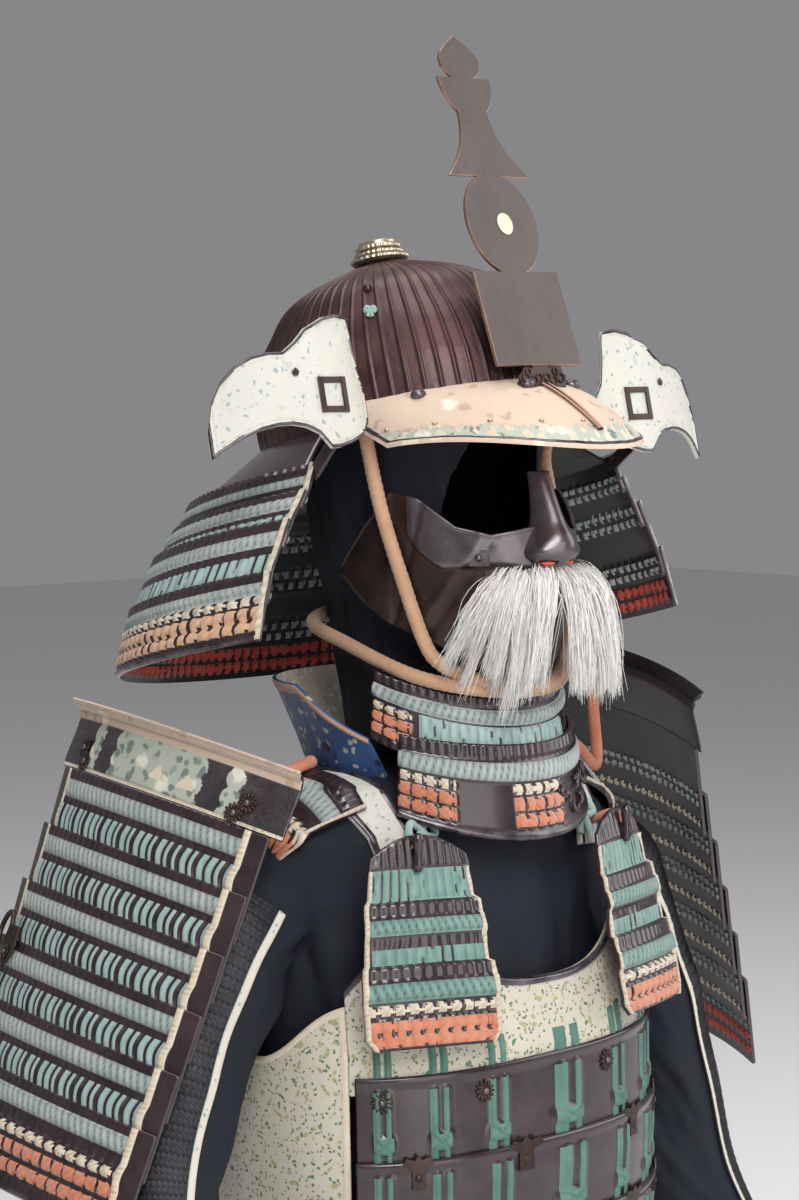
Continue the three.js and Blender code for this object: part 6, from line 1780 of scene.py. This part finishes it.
def makeHanging():
    bands = [("ribs", 3, 24), ("lacing", 25, 47), ("ribs", 48, 59), ("braid", 60, 72), ("ribs", 73, 80),
             ("lacing", 81, 94), ("ribs", 95, 105), ("braid", 106, 119), ("plain", 119, 122), ("knots", 122, 130),
             ("crosses", 132, 142), ("crosses", 143, 153)]
    for word in ("right", "left"):
        length, height = 96.0, 154.0
        base = laceRelief(bands, 7.6, 6.0, 9.6, length, 4)

        def relief(x, y, base=base):
            lift, part, tone = base(x, y)
            top = y < 3.5
            lift = np.where(top, 1.2 * np.sqrt(np.clip(1 - ((y - 1.7) / 1.8) ** 2, 0, 1)), lift)
            head = (y < 24) & (part == 3)
            return np.where(head, 0.9, lift), np.where(top | head, 5, part), np.where(top | head, 0.2, tone)
        columns, rows = gridCounts(length, height)
        piece = gridPiece(f"hanging_rows_{word}", columns, rows, lambda u, v, out, word=word: hangPlace(word, u, v, out),
                          (-1, 1), (0, 154), relief, plateNames, 2.2, None, (length, height),
                          {"names": ("lacquerIn",), "thin": 2})
        belongs(piece, "armour", "lacquer", f"chest_plate_{word}")
        side = hang[word][0]
        start = hangPlace(word, np.array([0.1]), np.array([12.0]), np.array([2.5]))[0]
        end = shoulderPlace(np.array([side * 98.0]), np.array([rad(62)]), np.array([8.0]))[0]
        top = (start + end) / 2 + (0, -5, 7)
        tie = tubePiece(f"hanging_tie_{word}", smoothLine([start, top, end], 24), 3.2, "orange", 12, 0.8, 0.1)
        belongs(tie, "armour", "orange_cord", f"chest_plate_{word}")
        toggle = np.linspace(start + np.array([0, -3, 13]), start + np.array([0, -3, -15]), 14)
        belongs(tubePiece(f"hanging_toggle_{word}", toggle, 4.6, "lacquer", 14, up=(1, 0.3, 0), taper=(
            (0, 0.12, 0.5, 0.88, 1), (0.5, 1, 0.7, 1, 0.5))), "armour", "lacquer")


makeStraps()
for word in ("right", "left"):
    makeWing(word)
    side = wing["seats"][word][0]
    knot = shoulderPlace(np.array([side * 82.0]), np.array([rad(58)]), np.array([9.0]))[0]
    bow(f"strap_bow_{word}", knot, (1, 0, 0), (0, -0.35, -1), (0, -1, 0.3), "tealDeep", "orange_cord", 11.0, 3.0)
makeGuardRing()
makeHanging()
print("shoulders made")


# Orange cords from the shoulders to the guards
def makeShoulderCords():
    for side, word in ((-1, "right"), (1, "left")):
        points = []
        for x, beta, out in ((106, -10, 9.8), (112, -2, 15), (140, 4, 22), (168, 2, 30)):
            points.append(shoulderPlace(np.array([side * x * 1.0]), np.array([rad(beta)]), np.array([out * 1.0]))[0])
        points.append(wingPlace(word, 14, -16, -24))
        points.append(wingPlace(word, 12, -16, -3.95))
        line = smoothLine([np.ravel(p) for p in points], 200)
        piece = tubePiece(f"shoulder_rope_{word}", line, 4.5, "orange", 14, 0.6, 0.1)
        belongs(piece, "armour", "orange_cord", f"shoulder_cord_{word}")
        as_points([tuple(p * 0.001) for p in line[::5]] + [tuple(line[-1] * 0.001)])


makeShoulderCords()


# Mail over the sleeves, with leather along its edges
def makeMail():
    for side, word in ((-1, "right"), (1, "left")):
        def place(turn, along, out, side=side):
            return armPlace(side, turn, along, out + 4.35)

        def relief(x, y):
            edge = np.minimum(np.minimum(x, 150 - x), 540 - y)
            leather = edge < 5
            piping = edge < 2.2
            # painted shade in the holes of the rings and the gaps between them
            fx, fy = frac(x / 4.2 + 0.5 * (np.floor(y / 3.6) % 2)) - 0.5, frac(y / 3.6) - 0.5
            r = np.hypot(fx * 4.2, fy * 3.6)
            ring = bump(r - 1.35, 0.55)
            lift = np.where(piping, 0.6, np.where(leather, 0.3, -0.7 + 0.9 * ring))
            return lift, np.where(piping, 2, np.where(leather, 1, 0)), np.where(leather, 0.1, 1 - ring)
        fine = 2
        piece = gridPiece(f"mail_face_{word}", 70 * fine, 200 * fine, place, (rad(-100), rad(80)), (1.3, 7), relief,
                          ("mail", "leather", "cream"), 1.6, None, (150.0, 540.0), {"names": ("navy",), "thin": 4})
        belongs(piece, "armour", "mail", f"mail_sleeve_{word}")


looks["mail"] = finish("mail", (0.040, 0.038, 0.046), (0.085, 0.08, 0.09), 30, 0.6, 0.85, 0.4, metal=0.7)
makeMail()
print("cords and mail made")


# Floor and light
def makeStage():
    mesh = bpy.data.meshes.new("floor")
    bm = bmesh.new()
    bmesh.ops.create_grid(bm, x_segments=2, y_segments=2, size=9.0)
    bmesh.ops.translate(bm, vec=(0, 0, cadBounds[0][2] - 0.004), verts=bm.verts[:])
    bm.to_mesh(mesh)
    bm.free()
    material, _, _, shader = newMaterial("floor")
    shader.inputs["Base Color"].default_value = (0.80, 0.79, 0.80, 1)
    shader.inputs["Roughness"].default_value = 0.9
    mesh.materials.append(material)
    floor = bpy.data.objects.new("floor", mesh)
    bpy.context.scene.collection.objects.link(floor)
    for name, place, size, watts, tint in (
            ("key", (-1.6, -2.2, 2.2), 1.5, 98, (1.0, 0.985, 0.96)), ("side", (2.4, -1.6, 1.2), 2.0, 46, (0.97, 0.98, 1.0)),
            ("top", (0.2, 0.4, 2.6), 1.6, 44, (1, 1, 1)), ("low", (-0.6, -2.6, 0.2), 1.6, 24, (1, 0.99, 0.97))):
        data = bpy.data.lights.new(name, "AREA")
        data.shape = "RECTANGLE"
        data.size = size
        data.size_y = size * 1.3
        data.energy = watts
        data.color = tint
        light = bpy.data.objects.new(name, data)
        light.location = place
        light.rotation_euler = (Vector(place) - Vector((0, 0, 0))).to_track_quat("Z", "Y").to_euler()
        bpy.context.scene.collection.objects.link(light)
    world = bpy.data.worlds.new("studio")
    world.use_nodes = True
    background = world.node_tree.nodes["Background"]
    background.inputs["Color"].default_value = (0.97, 0.96, 1.0, 1)
    background.inputs["Strength"].default_value = 0.25
    bpy.context.scene.world = world
    bpy.context.scene.view_settings.view_transform = "Standard"


makeStage()
print("floor and lights made")
